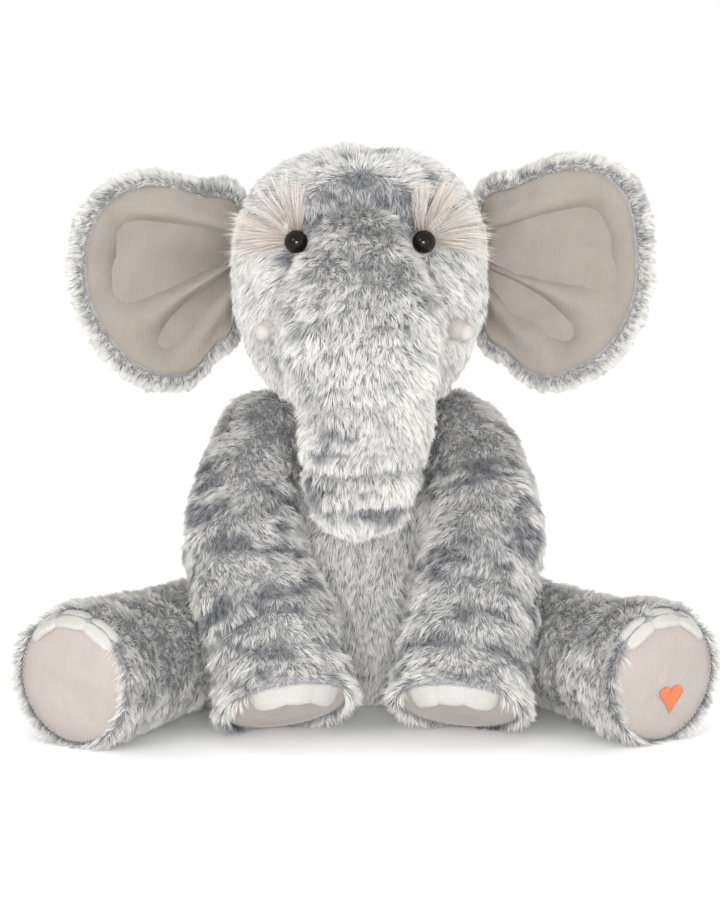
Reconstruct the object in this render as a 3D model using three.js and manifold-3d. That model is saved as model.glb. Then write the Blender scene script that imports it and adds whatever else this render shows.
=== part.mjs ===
// Seated plush elephant, millimetres, +Z up, front towards -Y.
// Origin: on the floor, under the middle of the toy's box. "left" is the -X side, seen from the front.
// The numbers below are taken from the middle of the body; SHIFT moves them all onto the origin.
// Every fur cover is an open shell, with its own stuffing inside. Limbs, head, trunk and ears
// are separate covers that turn on soft seams, so each has a rounded root in a matching hollow.
import * as THREE from 'three';
import { mergeVertices } from 'three/addons/utils/BufferGeometryUtils.js';
import Module from 'manifold-3d';

const wasm = await Module();
wasm.setup();

// ---------- driving dimensions ----------
const SHIFT = [-4.751, 7.646, 0];     // from the middle of the body to the middle of the box
const WALL = 3;            // fur fabric with the base of its pile
const FIT = 0.5;           // between a cover and its stuffing
const CLEAR = 2;           // between a moving cover and its neighbour
const NECK = [0, 14, 222];           // neck pivot
const NECK_R = 35;
const NOD = [-10, 10];               // degrees about +X
const TURN = [-15, 15];              // degrees about +Z
const TRUNK = [0, -80, 286];         // trunk root pivot
const TRUNK_LIFT = [0, 50];          // about -X
const CURL = [4, -108, 206];         // pivot halfway down the trunk
const TRUNK_CURL = [0, 40];
const EAR_X = 79, EAR_Y = 4;         // ear seam, a vertical line
const EAR_FLAP = [-15, 25];
const SHOULDER = { l: [-64, 16, 177], r: [66, 16, 177] };
const ARM_AXIS = { l: [-0.807, 0.401, -0.435], r: [-0.807, -0.401, 0.435] };
const ARM_LIFT = [0, 38];
const HIP = { l: [-80, 46, 44], r: [82, 46, 44] };
const LEG_SPLAY = [0, 20];
const TAIL = [0, 104, 62];
const EYE_R = 7.5;
const FRONT_SOLE_R = 38, HIND_SOLE_R = 39, SOLE_T = 3;

// stations: x, y, z of the centre line, half width across, half depth
const TORSO = [
  [0, 38, -10, 50, 42], [0, 38, 4, 70, 59], [0, 37, 24, 81, 69], [0, 36, 58, 85, 72], [0, 35, 98, 81, 70],
  [0, 32, 138, 72, 64], [0, 26, 170, 59, 55], [0, 18, 194, 47, 47], [0, 15, 212, 41, 41], [0, 14, 232, 36, 36],
];
const ARM = {
  l: [[-64, 16, 177, 34, 34], [-73, -12, 153, 37, 37], [-76, -40, 122, 38, 38], [-68, -62, 92, 38, 38], [-58, -83, 62, 41, 41], [-47, -108, 23, 43, 43]],
  r: [[66, 16, 177, 34, 34], [77, -12, 153, 37, 37], [80, -40, 122, 38, 38], [75, -62, 92, 38, 38], [69, -83, 62, 41, 41], [61, -108, 23, 43, 43]],
};
const LEG = {
  l: [[-80, 46, 44, 35, 35], [-98, 14, 42, 38, 38], [-122, -30, 42, 39, 39], [-148, -76, 43, 42, 42], [-170, -110, 43, 45, 45], [-180, -126, 42, 44, 44]],
  r: [[82, 46, 44, 35, 35], [105, 14, 42, 38, 38], [134, -30, 42, 38, 38], [161, -72, 43, 41, 41], [181, -101, 43, 45, 45], [191, -115, 42, 44, 44]],
};
const TRUNK_UP = [[0, -80, 286, 38, 36], [0, -92, 262, 46, 37], [2, -102, 238, 44, 35], [4, -108, 206, 39, 33]];
const TRUNK_TIP = [[4, -108, 206, 37, 32], [1, -113, 180, 36.5, 31], [0, -116, 162, 32.5, 29], [0, -118, 150, 28, 26.5]];
const HEAD = { c: [0, -8, 289], r: [81, 80, 77], power: 2.5 };

// ---------- helpers ----------
const vec = (p) => new THREE.Vector3(p[0], p[1], p[2]);

function solid(geometry) {
  const g = geometry.clone();
  g.deleteAttribute('normal');
  g.deleteAttribute('uv');
  const m = mergeVertices(g, 1e-4);
  return new wasm.Manifold(new wasm.Mesh({
    numProp: 3,
    vertProperties: new Float32Array(m.attributes.position.array),
    triVerts: new Uint32Array(m.index.array),
  }));
}

// a closed cover round a curved centre line: rings of a sphere moved onto the stations
function loft(stations, o = {}) {
  const { segs = 16, sub = 1, grow = 0, start = 1, end = 1, caps = 3, ref = [1, 0, 0], extendEnd = 0 } = o;
  const line = new THREE.CatmullRomCurve3(stations.map(vec), false, 'centripetal');
  const half = new THREE.CatmullRomCurve3(stations.map((s) => vec([s[3], s[4], 0])), false, 'centripetal');
  const n = (stations.length - 1) * sub;
  const rings = [];
  const frame = (t) => {
    const T = line.getTangent(t).normalize();
    const S = vec(ref).addScaledVector(T, -vec(ref).dot(T)).normalize();
    return { C: line.getPoint(t), T, S, B: T.clone().cross(S), r: half.getPoint(t) };
  };
  const first = frame(0), last = frame(1);
  const cap = (f, sign, round) => {
    const out = [];
    const deep = round ? round * Math.min(f.r.x, f.r.y) + grow : 0;
    for (let k = 0; k < (round ? caps : 1); k++) {
      const w = (k / caps) * Math.PI / 2;
      out.push({ ...f, C: f.C.clone().addScaledVector(f.T, sign * deep * (round ? Math.cos(w) : 1)), k: round ? Math.sin(w) : 0 });
    }
    return out;
  };
  rings.push(...cap(first, -1, start));
  for (let i = 0; i <= n; i++) if (i < n || !extendEnd) rings.push({ ...frame(i / n), k: 1 });
  if (extendEnd) rings.push({ ...last, C: last.C.clone().addScaledVector(last.T, extendEnd), k: 1 }, { ...last, C: last.C.clone().addScaledVector(last.T, extendEnd), k: 0 });
  else rings.push(...cap(last, 1, end).reverse());
  const g = new THREE.SphereGeometry(1, segs, rings.length - 1);
  const pos = g.attributes.position;
  for (let i = 0; i < rings.length; i++) {
    const f = rings[i];
    for (let j = 0; j <= segs; j++) {
      const a = (j % segs) / segs * 2 * Math.PI;
      const p = f.C.clone()
        .addScaledVector(f.S, -Math.cos(a) * (f.r.x + grow) * f.k)
        .addScaledVector(f.B, Math.sin(a) * (f.r.y + grow) * f.k);
      pos.setXYZ(i * (segs + 1) + j, p.x, p.y, p.z);
    }
  }
  return solid(g);
}

// rounded box-like ball
function ball(c, r, { grow = 0, power = 2, w = 20, h = 14 } = {}) {
  const g = new THREE.SphereGeometry(1, w, h);
  g.rotateX(Math.PI / 2);
  const pos = g.attributes.position;
  for (let i = 0; i < pos.count; i++) {
    const p = [pos.getX(i), pos.getY(i), pos.getZ(i)];
    const n = Math.pow(p.reduce((s, q) => s + Math.pow(Math.abs(q), power), 0), 1 / power);
    pos.setXYZ(i, ...p.map((q, k) => c[k] + q / n * (r[k] + grow)));
  }
  return solid(g);
}

function beyond(point, normal, size = 500) {
  const g = new THREE.BoxGeometry(size, size, size);
  g.translate(0, 0, size / 2);
  g.applyQuaternion(new THREE.Quaternion().setFromUnitVectors(new THREE.Vector3(0, 0, 1), vec(normal).normalize()));
  g.translate(...point);
  return solid(g);
}

function rod(from, to, r0, r1 = r0, segs = 14) {
  const a = vec(from), d = vec(to).sub(a);
  const g = new THREE.CylinderGeometry(r1, r0, d.length(), segs);
  g.translate(0, d.length() / 2, 0);
  g.applyQuaternion(new THREE.Quaternion().setFromUnitVectors(new THREE.Vector3(0, 1, 0), d.clone().normalize()));
  g.translate(a.x, a.y, a.z);
  return solid(g);
}

function turned(m, pivot, axis, degrees) {
  const M = new THREE.Matrix4().makeTranslation(...pivot)
    .multiply(new THREE.Matrix4().makeRotationAxis(vec(axis).normalize(), THREE.MathUtils.degToRad(degrees)))
    .multiply(new THREE.Matrix4().makeTranslation(...pivot.map((v) => -v)));
  return m.transform(M.elements);
}

function swept(m, pivot, axis, angles) {
  return angles.map((a) => turned(m, pivot, axis, a)).reduce((s, x) => s.add(x));
}

const main = (m) => m.decompose().sort((a, b) => b.volume() - a.volume())[0];

const group = new THREE.Group();
group.name = 'plush_elephant';
const looks = {
  fur: { color: 0xa6a8a8, roughness: 0.95 }, fill: { color: 0xf2f1ec, roughness: 1 }, pellets: { color: 0xd9d4c8, roughness: 0.9 },
  velour: { color: 0xc4b7ad, roughness: 0.85 }, sole: { color: 0xd6cac4, roughness: 0.85 }, nail: { color: 0xe9e3dd, roughness: 0.8 },
  eye: { color: 0x1a1210, roughness: 0.08 }, washer: { color: 0xe8e8e6, roughness: 0.45 }, lash: { color: 0xcfc5b8, roughness: 0.7 },
  thread: { color: 0xd2723a, roughness: 0.6 },
};
function add(name, m, look) {
  const whole = main(m);
  const raw = whole.translate(SHIFT).getMesh();
  const g = new THREE.BufferGeometry();
  g.setAttribute('position', new THREE.BufferAttribute(new Float32Array(raw.vertProperties), 3));
  g.setIndex(new THREE.BufferAttribute(new Uint32Array(raw.triVerts), 1));
  const mesh = new THREE.Mesh(g, new THREE.MeshStandardMaterial({ metalness: 0, ...looks[look] }));
  mesh.name = name;
  group.add(mesh);
  return whole;
}

// ---------- moving covers, at rest ----------
const floor = beyond([0, 0, 0], [0, 0, -1]);
const headBall = (grow = 0, w = 20, h = 12) => ball(HEAD.c, HEAD.r, { grow, power: HEAD.power, w, h });
const neckPlug = (grow) => {
  const pts = [[0, -38 - grow], [22 + grow, -38 - grow], [24 + grow, -24], [29 + grow, -16]];
  for (const d of [-12, 8, 28, 48, 68]) pts.push([(NECK_R + grow) * Math.cos(d * Math.PI / 180), (NECK_R + grow) * Math.sin(d * Math.PI / 180)]);
  pts.push([0, NECK_R + grow]);
  const g = new THREE.LatheGeometry(pts.map((p) => new THREE.Vector2(...p)), 18);
  g.rotateX(Math.PI / 2);
  g.translate(...NECK);
  return solid(g);
};
const trunkUp = (grow, o = {}) => loft(TRUNK_UP, { grow, start: 0.9, end: 0, caps: 4, ...o });
const trunkTip = (grow, o = {}) => loft(TRUNK_TIP, { grow, start: 1, end: 0.45, caps: 3, ...o });
// the root of each trunk piece is round about its hinge line
const rootRound = (c, a, r, w = 14, h = 10) => ball(c, [a, r, r], { w, h });

const leg = (side, kind) => (grow, o = {}) => loft(kind === 'arm' ? ARM[side] : LEG[side], { grow, start: 1, end: 0, ...o });
const cutter = { segs: 12, sub: 1, caps: 3 };

// ---------- torso ----------
{
  const away = [neckPlug(1.5)];
  for (const s of ['l', 'r']) away.push(leg(s, 'arm')(CLEAR + 0.6, cutter), leg(s, 'leg')(CLEAR + 0.6, cutter));
  const gone = away.reduce((a, b) => a.add(b));
  const outer = loft(TORSO, { segs: 20, start: 0, end: 0 }).subtract(floor).subtract(beyond([0, 0, 205], [0, 0, 1]));
  const inside = loft(TORSO, { segs: 14, start: 0, end: 0, grow: -WALL }).subtract(beyond([0, 0, WALL], [0, 0, -1])).subtract(beyond([0, 0, 202], [0, 0, 1]));
  const fill = loft(TORSO, { segs: 14, start: 0, end: 0, grow: -WALL - FIT }).subtract(beyond([0, 0, WALL + FIT], [0, 0, -1])).subtract(beyond([0, 0, 201], [0, 0, 1]));
  const pouch = (grow) => ball([0, 36, 25], [46, 42, 17], { grow, power: 2.4, w: 12, h: 6 });
  const tail = rod([0, 90, 62], [0, 130, 62], 10, 10, 10);
  add('torso_fur_shell', outer.subtract(inside).subtract(gone).subtract(tail), 'fur');
  add('torso_stuffing', fill.subtract(gone).subtract(tail).subtract(pouch(0.8)).subtract(rod([0, 36, 3], [0, 36, 26], 12, 12, 10)), 'fill');
  add('seat_pellet_pouch', pouch(0), 'pellets');
  add('neck_stuffing', neckPlug(0), 'fill');
}

// ---------- head ----------
const headFront = (x, z) => {
  const q = 1 - Math.abs(x / HEAD.r[0]) ** HEAD.power - Math.abs((z - HEAD.c[2]) / HEAD.r[2]) ** HEAD.power;
  return HEAD.c[1] - HEAD.r[1] * Math.pow(Math.max(q, 0), 1 / HEAD.power);
};
{
  const neck = ball(NECK, [NECK_R + 2, NECK_R + 2, NECK_R + 2], { w: 16, h: 10 }).add(rod([NECK[0], NECK[1], 200], [NECK[0], NECK[1], 224], 37, 37, 16));
  const trunk = trunkUp(CLEAR, cutter).add(rootRound(TRUNK, 40.5, 38.5));
  const gone = neck.add(trunk);
  const eyes = [], washers = [];
  for (const s of [-1, 1]) {
    const x = 39.5 * s, z = 315, y = headFront(x, z);
    const n = vec([0.34 * s, -0.88, 0.2]).normalize();
    const at = (d) => [x + n.x * d, y + n.y * d, z + n.z * d];
    const dome = ball(at(3.6), [EYE_R, EYE_R, EYE_R], { w: 14, h: 8 }).subtract(beyond(at(0.6), n.clone().negate().toArray()));
    eyes.push({ s, m: dome.add(rod(at(1.2), at(-13), 2.3, 2.3, 8)), hole: rod(at(2), at(-14), 3, 3, 8) });
    washers.push({ s, m: rod(at(-7.5), at(-10), 6.5, 6.5, 12).subtract(rod(at(-6), at(-12), 2.8, 2.8, 8)), room: rod(at(-3), at(-15), 7.6, 7.6, 10) });
  }
  let shell = headBall(0).subtract(headBall(-WALL, 14, 10)).subtract(gone);
  let fill = headBall(-WALL - FIT, 14, 10).subtract(gone);
  for (const e of eyes) { shell = shell.subtract(e.hole); }
  for (const w of washers) { fill = fill.subtract(w.room); }
  // the eye seats on the skin
  for (const e of eyes) e.m = e.m.subtract(shell.intersect(headBall(0)));
  add('head_fur_shell', shell, 'fur');
  add('head_stuffing', fill, 'fill');
  for (const e of eyes) add(e.s < 0 ? 'eye_left' : 'eye_right', e.m.subtract(headBall(0.3).subtract(headBall(-WALL - 0.3)).subtract(e.hole)), 'eye');
  for (const w of washers) add(w.s < 0 ? 'eye_washer_left' : 'eye_washer_right', w.m, 'washer');

  // fan of long fibres over each eye, lying on the brow
  for (const s of [-1, 1]) {
    const fan = [[35, 329], [26, 338], [33, 346], [44, 348], [55, 345], [64, 338], [70, 327], [60, 324], [50, 327], [42, 327]];
    const shape = new THREE.Shape(fan.map(([x, z]) => new THREE.Vector2(x * s, z)));
    const g = new THREE.ExtrudeGeometry(shape, { depth: 2, bevelEnabled: false, steps: 1 });
    const pos = g.attributes.position;
    for (let i = 0; i < pos.count; i++) {
      const x = pos.getX(i), z = pos.getY(i), t = pos.getZ(i);
      pos.setXYZ(i, x, headFront(x, z) - 5 - t, z);
    }
    const m = solid(g);
    add(s < 0 ? 'eyelash_tuft_left' : 'eyelash_tuft_right', m.subtract(headBall(0.4)).subtract(trunk), 'lash');
  }
  // blunt padded tusks on the cheeks, each side of the trunk
  for (const s of [-1, 1]) {
    const x = s < 0 ? -54 : 58, z = 259, y = headFront(x, z);
    const d = vec([0.7 * s, -0.65, -0.14]).normalize();
    const at = (k) => [x + d.x * k, y + d.y * k, z + d.z * k];
    const st = [[...at(-3), 7.5, 7.5], [...at(4), 7.5, 7.5], [...at(11), 6.8, 6.8], [...at(15), 5.5, 5.5]];
    add(s < 0 ? 'tusk_left' : 'tusk_right', loft(st, { segs: 12, sub: 1, start: 0, end: 0.8, caps: 3, ref: [0, 0, 1] }).subtract(headBall(0.4)).subtract(trunk), 'nail');
  }
}

// ---------- trunk ----------
{
  const tipRoom = rootRound(CURL, 40, 35, 14, 10).add(turned(trunkTip(1.5, cutter), CURL, [-1, 0, 0], TRUNK_CURL[1]));
  const up = trunkUp(0), tip = trunkTip(0);
  add('trunk_upper_shell', up.subtract(trunkUp(-WALL, { segs: 12, caps: 3, extendEnd: 8 })).subtract(tipRoom), 'fur');
  add('trunk_upper_stuffing', trunkUp(-WALL - FIT, { segs: 12, caps: 3 }).subtract(tipRoom), 'fill');
  add('trunk_tip_shell', tip.subtract(trunkTip(-WALL, { segs: 12, caps: 2 })).subtract(rod([4, -104, 216], [4, -98, 250], 16)), 'fur');
  add('trunk_tip_stuffing', trunkTip(-WALL - FIT, { segs: 12, caps: 2 }), 'fill');
}

// ---------- ears ----------
for (const s of [-1, 1]) {
  const name = s < 0 ? 'left' : 'right';
  const outline = s < 0
    ? [[78, 336], [105, 348], [137, 352], [164, 343], [182, 320], [187, 286], [180, 258], [161, 230], [138, 216], [114, 215], [97, 232], [82, 250]]
    : [[78, 338], [104, 357], [137, 365], [166, 359], [184, 337], [191, 300], [187, 266], [168, 235], [140, 217], [118, 214], [98, 228], [80, 248]];
  const cx = 128, cz = 285;
  const dish = (x, z) => {      // cupped: the root is drawn in, and the rim comes forwards
    const u = (Math.abs(x) - EAR_X) / 110, w = (z - cz) / 70;
    return EAR_Y + 8 - 30 * u + 10 * u * u - 9 * w * w * (1 - 0.4 * u);
  };
  const plate = (inset, back, front) => {
    const pts = outline.map(([x, z]) => {
      const d = Math.hypot(x - cx, z - cz);
      return new THREE.Vector2(s * (cx + (x - cx) * (1 - inset / d)), cz + (z - cz) * (1 - inset / d));
    });
    const curve = new THREE.SplineCurve([...pts, pts[0]]);
    const ring = curve.getPoints(24).slice(0, -1);
    const shape = new THREE.Shape(ring);
    // a grid of inner points, so that the plate bends
    const rows = 3, segs = ring.length, c = new THREE.Vector2(s * cx, cz);
    const g = new THREE.SphereGeometry(1, segs, 2 * rows);
    const pos = g.attributes.position;
    const ccw = THREE.ShapeUtils.area(ring) > 0;
    for (let i = 0; i <= 2 * rows; i++) {
      const k = i <= rows ? i / rows : (2 * rows - i) / rows;
      const top = i <= rows;
      for (let j = 0; j <= segs; j++) {
        const p = ring[(ccw ? segs - (j % segs) : (j % segs)) % segs];
        const x = c.x + (p.x - c.x) * k, z = c.y + (p.y - c.y) * k;
        const edge = i === rows ? (back + front) / 2 : (top ? back : front);
        pos.setXYZ(i * (segs + 1) + j, x, dish(x, z) + edge, z);
      }
    }
    return solid(g);
  };
  let back = plate(0, 7, 0), lining = plate(9, -0.6, -4.2);
  const head = headBall(3.5, 18, 12);
  back = back.subtract(head);
  lining = lining.subtract(head);
  add('ear_back_' + name, back, 'fur');
  add('ear_lining_' + name, lining, 'velour');
}

// ---------- front and hind legs ----------
for (const s of ['l', 'r']) {
  for (const kind of ['arm', 'leg']) {
    const name = (kind === 'arm' ? 'front' : 'hind'), side = s === 'l' ? 'left' : 'right';
    const make = leg(s, kind), st = (kind === 'arm' ? ARM : LEG)[s];
    const R = kind === 'arm' ? FRONT_SOLE_R : HIND_SOLE_R;
    const line = new THREE.CatmullRomCurve3(st.map(vec), false, 'centripetal');
    const T = line.getTangent(1).normalize(), C = vec(st[st.length - 1]);
    const end = (d) => C.clone().addScaledVector(T, d).toArray();
    add(`${name}_leg_shell_${side}`, make(0).subtract(make(-WALL, { segs: 12, caps: 2, extendEnd: 8 })).subtract(floor), 'fur');
    add(`${name}_leg_stuffing_${side}`, make(-WALL - FIT, { segs: 12, caps: 2 }).subtract(beyond(end(-0.4), T.toArray())).subtract(floor), 'fill');
    // sole: a flat pad sewn over the open end of the cover
    const sole = rod(end(0.35), end(0.35 + SOLE_T), R, R - 1.5, 22).subtract(floor);
    add(`${name}_sole_${side}`, sole, 'sole');
    // toenails: three pads along the upper edge of the sole
    const up = new THREE.Vector3(0, 0, 1).addScaledVector(T, -T.z).normalize();
    const across = new THREE.Vector3().crossVectors(T, up);
    const skin = make(0.35);
    [-1, 0, 1].forEach((k) => {
      const turn = k * 34 * Math.PI / 180;
      const dir = up.clone().multiplyScalar(Math.cos(turn)).addScaledVector(across, Math.sin(turn));
      const c = C.clone().addScaledVector(T, -5).addScaledVector(dir, st[st.length - 1][3] - 1.5);
      const g = new THREE.SphereGeometry(1, 10, 6);
      g.scale(9.5, 7.5, 5.5);          // across, along, out
      g.applyMatrix4(new THREE.Matrix4().makeBasis(new THREE.Vector3().crossVectors(T, dir), T, dir));
      g.translate(c.x, c.y, c.z);
      const raw = solid(g);
      add(`${name}_toenail_${side}_${k + 2}`, raw.subtract(skin).subtract(beyond(end(0.1), T.toArray())), 'nail');
    });
    if (kind === 'leg' && s === 'r') {
      // small embroidered heart on the sole
      const h = new THREE.Shape();
      h.moveTo(0, -9); h.bezierCurveTo(-3, -5, -10, -1, -9.5, 4); h.bezierCurveTo(-9, 9, -2, 9.5, 0, 4.5);
      h.bezierCurveTo(2, 9.5, 9, 9, 9.5, 4); h.bezierCurveTo(10, -1, 3, -5, 0, -9);
      const g = new THREE.ExtrudeGeometry(h, { depth: 1, bevelEnabled: false, curveSegments: 4 });
      const at = C.clone().addScaledVector(T, 0.35 + SOLE_T + 0.3).addScaledVector(across, -4).addScaledVector(up, -14);
      g.applyMatrix4(new THREE.Matrix4().makeBasis(new THREE.Vector3().crossVectors(up, T), up, T));
      g.translate(at.x, at.y, at.z);
      add('sole_heart_patch', solid(g), 'thread');
    }
  }
}

// ---------- tail ----------
{
  const core = [[0, 104, 62, 6.5, 6.5], [0, 114, 58, 6.5, 6.5], [0, 121, 46, 6, 6], [0, 124, 34, 5.5, 5.5]];
  add('tail_cord', loft(core, { segs: 12, sub: 1, start: 1, end: 0, caps: 3 }).subtract(floor), 'fur');
  const tuft = [[0, 124.2, 32.5, 6, 6], [0, 125, 26, 9, 9], [0, 126, 16, 8, 8], [0, 127, 8, 4, 4]];
  add('tail_tuft', loft(tuft, { segs: 12, sub: 1, start: 0, end: 0.8, caps: 3 }).subtract(floor), 'fur');
}

export default group;
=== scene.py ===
import math

import bpy
import numpy as np
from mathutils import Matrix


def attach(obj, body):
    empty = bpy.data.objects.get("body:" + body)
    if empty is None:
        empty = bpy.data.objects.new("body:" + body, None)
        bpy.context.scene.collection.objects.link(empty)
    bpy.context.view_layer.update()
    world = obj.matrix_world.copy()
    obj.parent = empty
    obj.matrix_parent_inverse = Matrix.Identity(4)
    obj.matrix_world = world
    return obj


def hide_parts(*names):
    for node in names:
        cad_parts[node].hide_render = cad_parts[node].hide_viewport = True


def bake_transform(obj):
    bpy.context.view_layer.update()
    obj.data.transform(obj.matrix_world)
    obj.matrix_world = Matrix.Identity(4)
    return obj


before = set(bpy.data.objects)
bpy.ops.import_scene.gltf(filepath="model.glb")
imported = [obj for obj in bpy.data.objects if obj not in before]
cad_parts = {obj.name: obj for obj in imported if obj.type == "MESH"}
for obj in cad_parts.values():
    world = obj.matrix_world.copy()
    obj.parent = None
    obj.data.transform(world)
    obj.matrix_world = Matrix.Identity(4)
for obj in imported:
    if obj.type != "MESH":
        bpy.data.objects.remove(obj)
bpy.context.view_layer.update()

# Everything below is worked out in millimetres from the middle of the body, as the covers are cut,
# and moved by SHIFT onto the row's origin when a mesh is made. -Y is the front, -X is "left".
SHIFT = np.array([-4.751, 7.646, 0.0])
SKIN = 2.5          # the backing cloth lies this far inside the CAD surface, which is halfway up the pile
PILE = 9.0          # length of a fibre
FLOOR = 0.5         # nothing goes lower than this, mm
DENSITY = 1.5       # fibres, against the counts given below

TORSO = [[0, 38, -10, 50, 42], [0, 38, 4, 70, 59], [0, 37, 24, 81, 69], [0, 36, 58, 85, 72], [0, 35, 98, 81, 70],
         [0, 32, 138, 72, 64], [0, 26, 170, 59, 55], [0, 18, 194, 47, 47], [0, 15, 212, 41, 41], [0, 14, 232, 36, 36]]
ARM = {
    "l": [[-61, 16, 175, 32, 32], [-69, -12, 152, 35, 35], [-75, -40, 122, 37.5, 37.5], [-70, -62, 92, 39, 39], [-55, -83, 62, 41, 41], [-47, -108, 23, 43, 43]],
    "r": [[63, 16, 175, 32, 32], [74, -12, 152, 35.5, 35.5], [79.5, -40, 122, 38, 38], [75.5, -62, 92, 38.5, 38.5], [69, -83, 62, 41, 41], [63.5, -108, 23, 43, 43]],
}
LEG = {
    "l": [[-80, 46, 44, 35, 35], [-98, 14, 42, 38, 38], [-122, -30, 42, 39, 39], [-148, -76, 43, 42, 42], [-170, -110, 43.5, 45.5, 45.5], [-180, -126, 43, 44, 44]],
    "r": [[82, 46, 44, 35, 35], [105, 14, 42, 38, 38], [134, -30, 42, 38, 38], [161, -72, 43, 41, 41], [181, -101, 43, 45, 45], [191, -115, 42, 44, 44]],
}
TRUNK_UP = [[0, -70, 311, 31, 25], [0, -80, 297, 39, 31], [0, -87.5, 280, 48.5, 36], [0, -93.5, 262, 52, 38.5], [1, -102, 240, 48, 36.5], [3, -106, 222, 43, 34.5], [4, -108, 208, 38, 31]]
TRUNK_TIP = [[4, -105, 226, 33, 28], [4, -108, 214, 39.5, 33], [3, -110, 196, 39.5, 33], [1, -113, 179, 37, 31.5], [0, -116, 163, 32.5, 29], [0, -118, 151, 28, 26.5]]
HEAD_C, HEAD_R, HEAD_P = np.array([0.0, -8.0, 289.0]), np.array([81.0, 80.0, 79.5]), 2.5
EAR_OUT = {
    "l": [[78, 333], [105, 345], [137, 351], [164, 343], [182, 320], [187, 286], [180, 258], [161, 230], [138, 216], [114, 215], [97, 232], [82, 250]],
    "r": [[78, 334], [104, 351], [137, 362], [164, 357], [182, 336], [188, 300], [185, 266], [168, 235], [140, 217], [118, 214], [98, 228], [80, 248]],
}
EYES = {"l": -39.5, "r": 39.5}
EYE_Z = 315.0
SIDE = {"l": "left", "r": "right"}


# ---------------------------------------------------------------- small tools
def unit(v):
    return v / np.maximum(np.linalg.norm(v, axis=-1, keepdims=True), 1e-9)


def smooth(a, b, x):
    t = np.clip((x - a) / (b - a), 0, 1)
    return t * t * (3 - 2 * t)


_r = np.random.RandomState(11)
_perm = np.tile(_r.permutation(256), 2)
_grad = unit(_r.normal(size=(256, 3)))


def noise(P):
    """Gradient noise, about -1 to 1, at points P (..., 3)."""
    P = np.asarray(P, float)
    shape = P.shape[:-1]
    P = P.reshape(-1, 3)
    i = np.floor(P).astype(np.int64)
    f = P - i
    u = f * f * f * (f * (f * 6 - 15) + 10)
    out = np.zeros(len(P))
    for dx in (0, 1):
        wx = u[:, 0] if dx else 1 - u[:, 0]
        hx = _perm[(i[:, 0] + dx) & 255]
        for dy in (0, 1):
            wy = u[:, 1] if dy else 1 - u[:, 1]
            hy = _perm[(hx + i[:, 1] + dy) & 255]
            for dz in (0, 1):
                wz = u[:, 2] if dz else 1 - u[:, 2]
                g = _grad[_perm[(hy + i[:, 2] + dz) & 255]]
                d = g[:, 0] * (f[:, 0] - dx) + g[:, 1] * (f[:, 1] - dy) + g[:, 2] * (f[:, 2] - dz)
                out += wx * wy * wz * d
    return (out * 1.7).reshape(shape)


def spline(st, sub):
    """Centripetal Catmull-Rom through the stations, radii included."""
    st = np.array(st, float)
    P = np.vstack([2 * st[0] - st[1], st, 2 * st[-1] - st[-2]])
    out = []
    for i in range(len(st) - 1):
        p0, p1, p2, p3 = P[i:i + 4]
        d0, d1, d2 = (max(np.linalg.norm((b - a)[:3]) ** 0.5, 1e-6) for a, b in ((p0, p1), (p1, p2), (p2, p3)))
        t1 = ((p1 - p0) / d0 - (p2 - p0) / (d0 + d1) + (p2 - p1) / d1) * d1
        t2 = ((p2 - p1) / d1 - (p3 - p1) / (d1 + d2) + (p3 - p2) / d2) * d1
        for t in np.linspace(0, 1, sub, endpoint=False):
            out.append(p1 + t1 * t + (-3 * p1 + 3 * p2 - 2 * t1 - t2) * t * t + (2 * p1 - 2 * p2 + t1 + t2) * t ** 3)
    out.append(st[-1])
    return np.array(out)


class Grid:
    """A surface as rings of points: V is (rings, around, 3) and closes round axis 1."""

    def __init__(self, V, centre=None, **extra):
        self.V = V
        self.nr, self.na = V.shape[:2]
        self.sign = 1.0
        self.N = self.normals()
        c = centre if centre is not None else V.mean(axis=1, keepdims=True)
        if np.sum(self.N * (V - c)) < 0:
            self.sign = -1.0
            self.N = -self.N
        self.__dict__.update(extra)

    def normals(self):
        du = np.roll(self.V, -1, 1) - np.roll(self.V, 1, 1)
        dv = np.gradient(self.V, axis=0)
        n = np.cross(du, dv)
        # at a pole the ring has no width: take the mean of the next ring
        n = unit(n) * self.sign
        for k in (0, -1):
            if np.linalg.norm(self.V[k].max(0) - self.V[k].min(0)) < 3:
                m = n[1 if k == 0 else -2].mean(0)
                n[k] = unit(m)
        return n

    def push(self, d, keep_floor=True):
        """Moves the surface out along its normals by d (rings, around), then finds the normals again."""
        self.V = self.V + self.N * d[..., None]
        if keep_floor:
            self.V[..., 2] = np.maximum(self.V[..., 2], FLOOR)
        self.N = self.normals()
        return self


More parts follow.
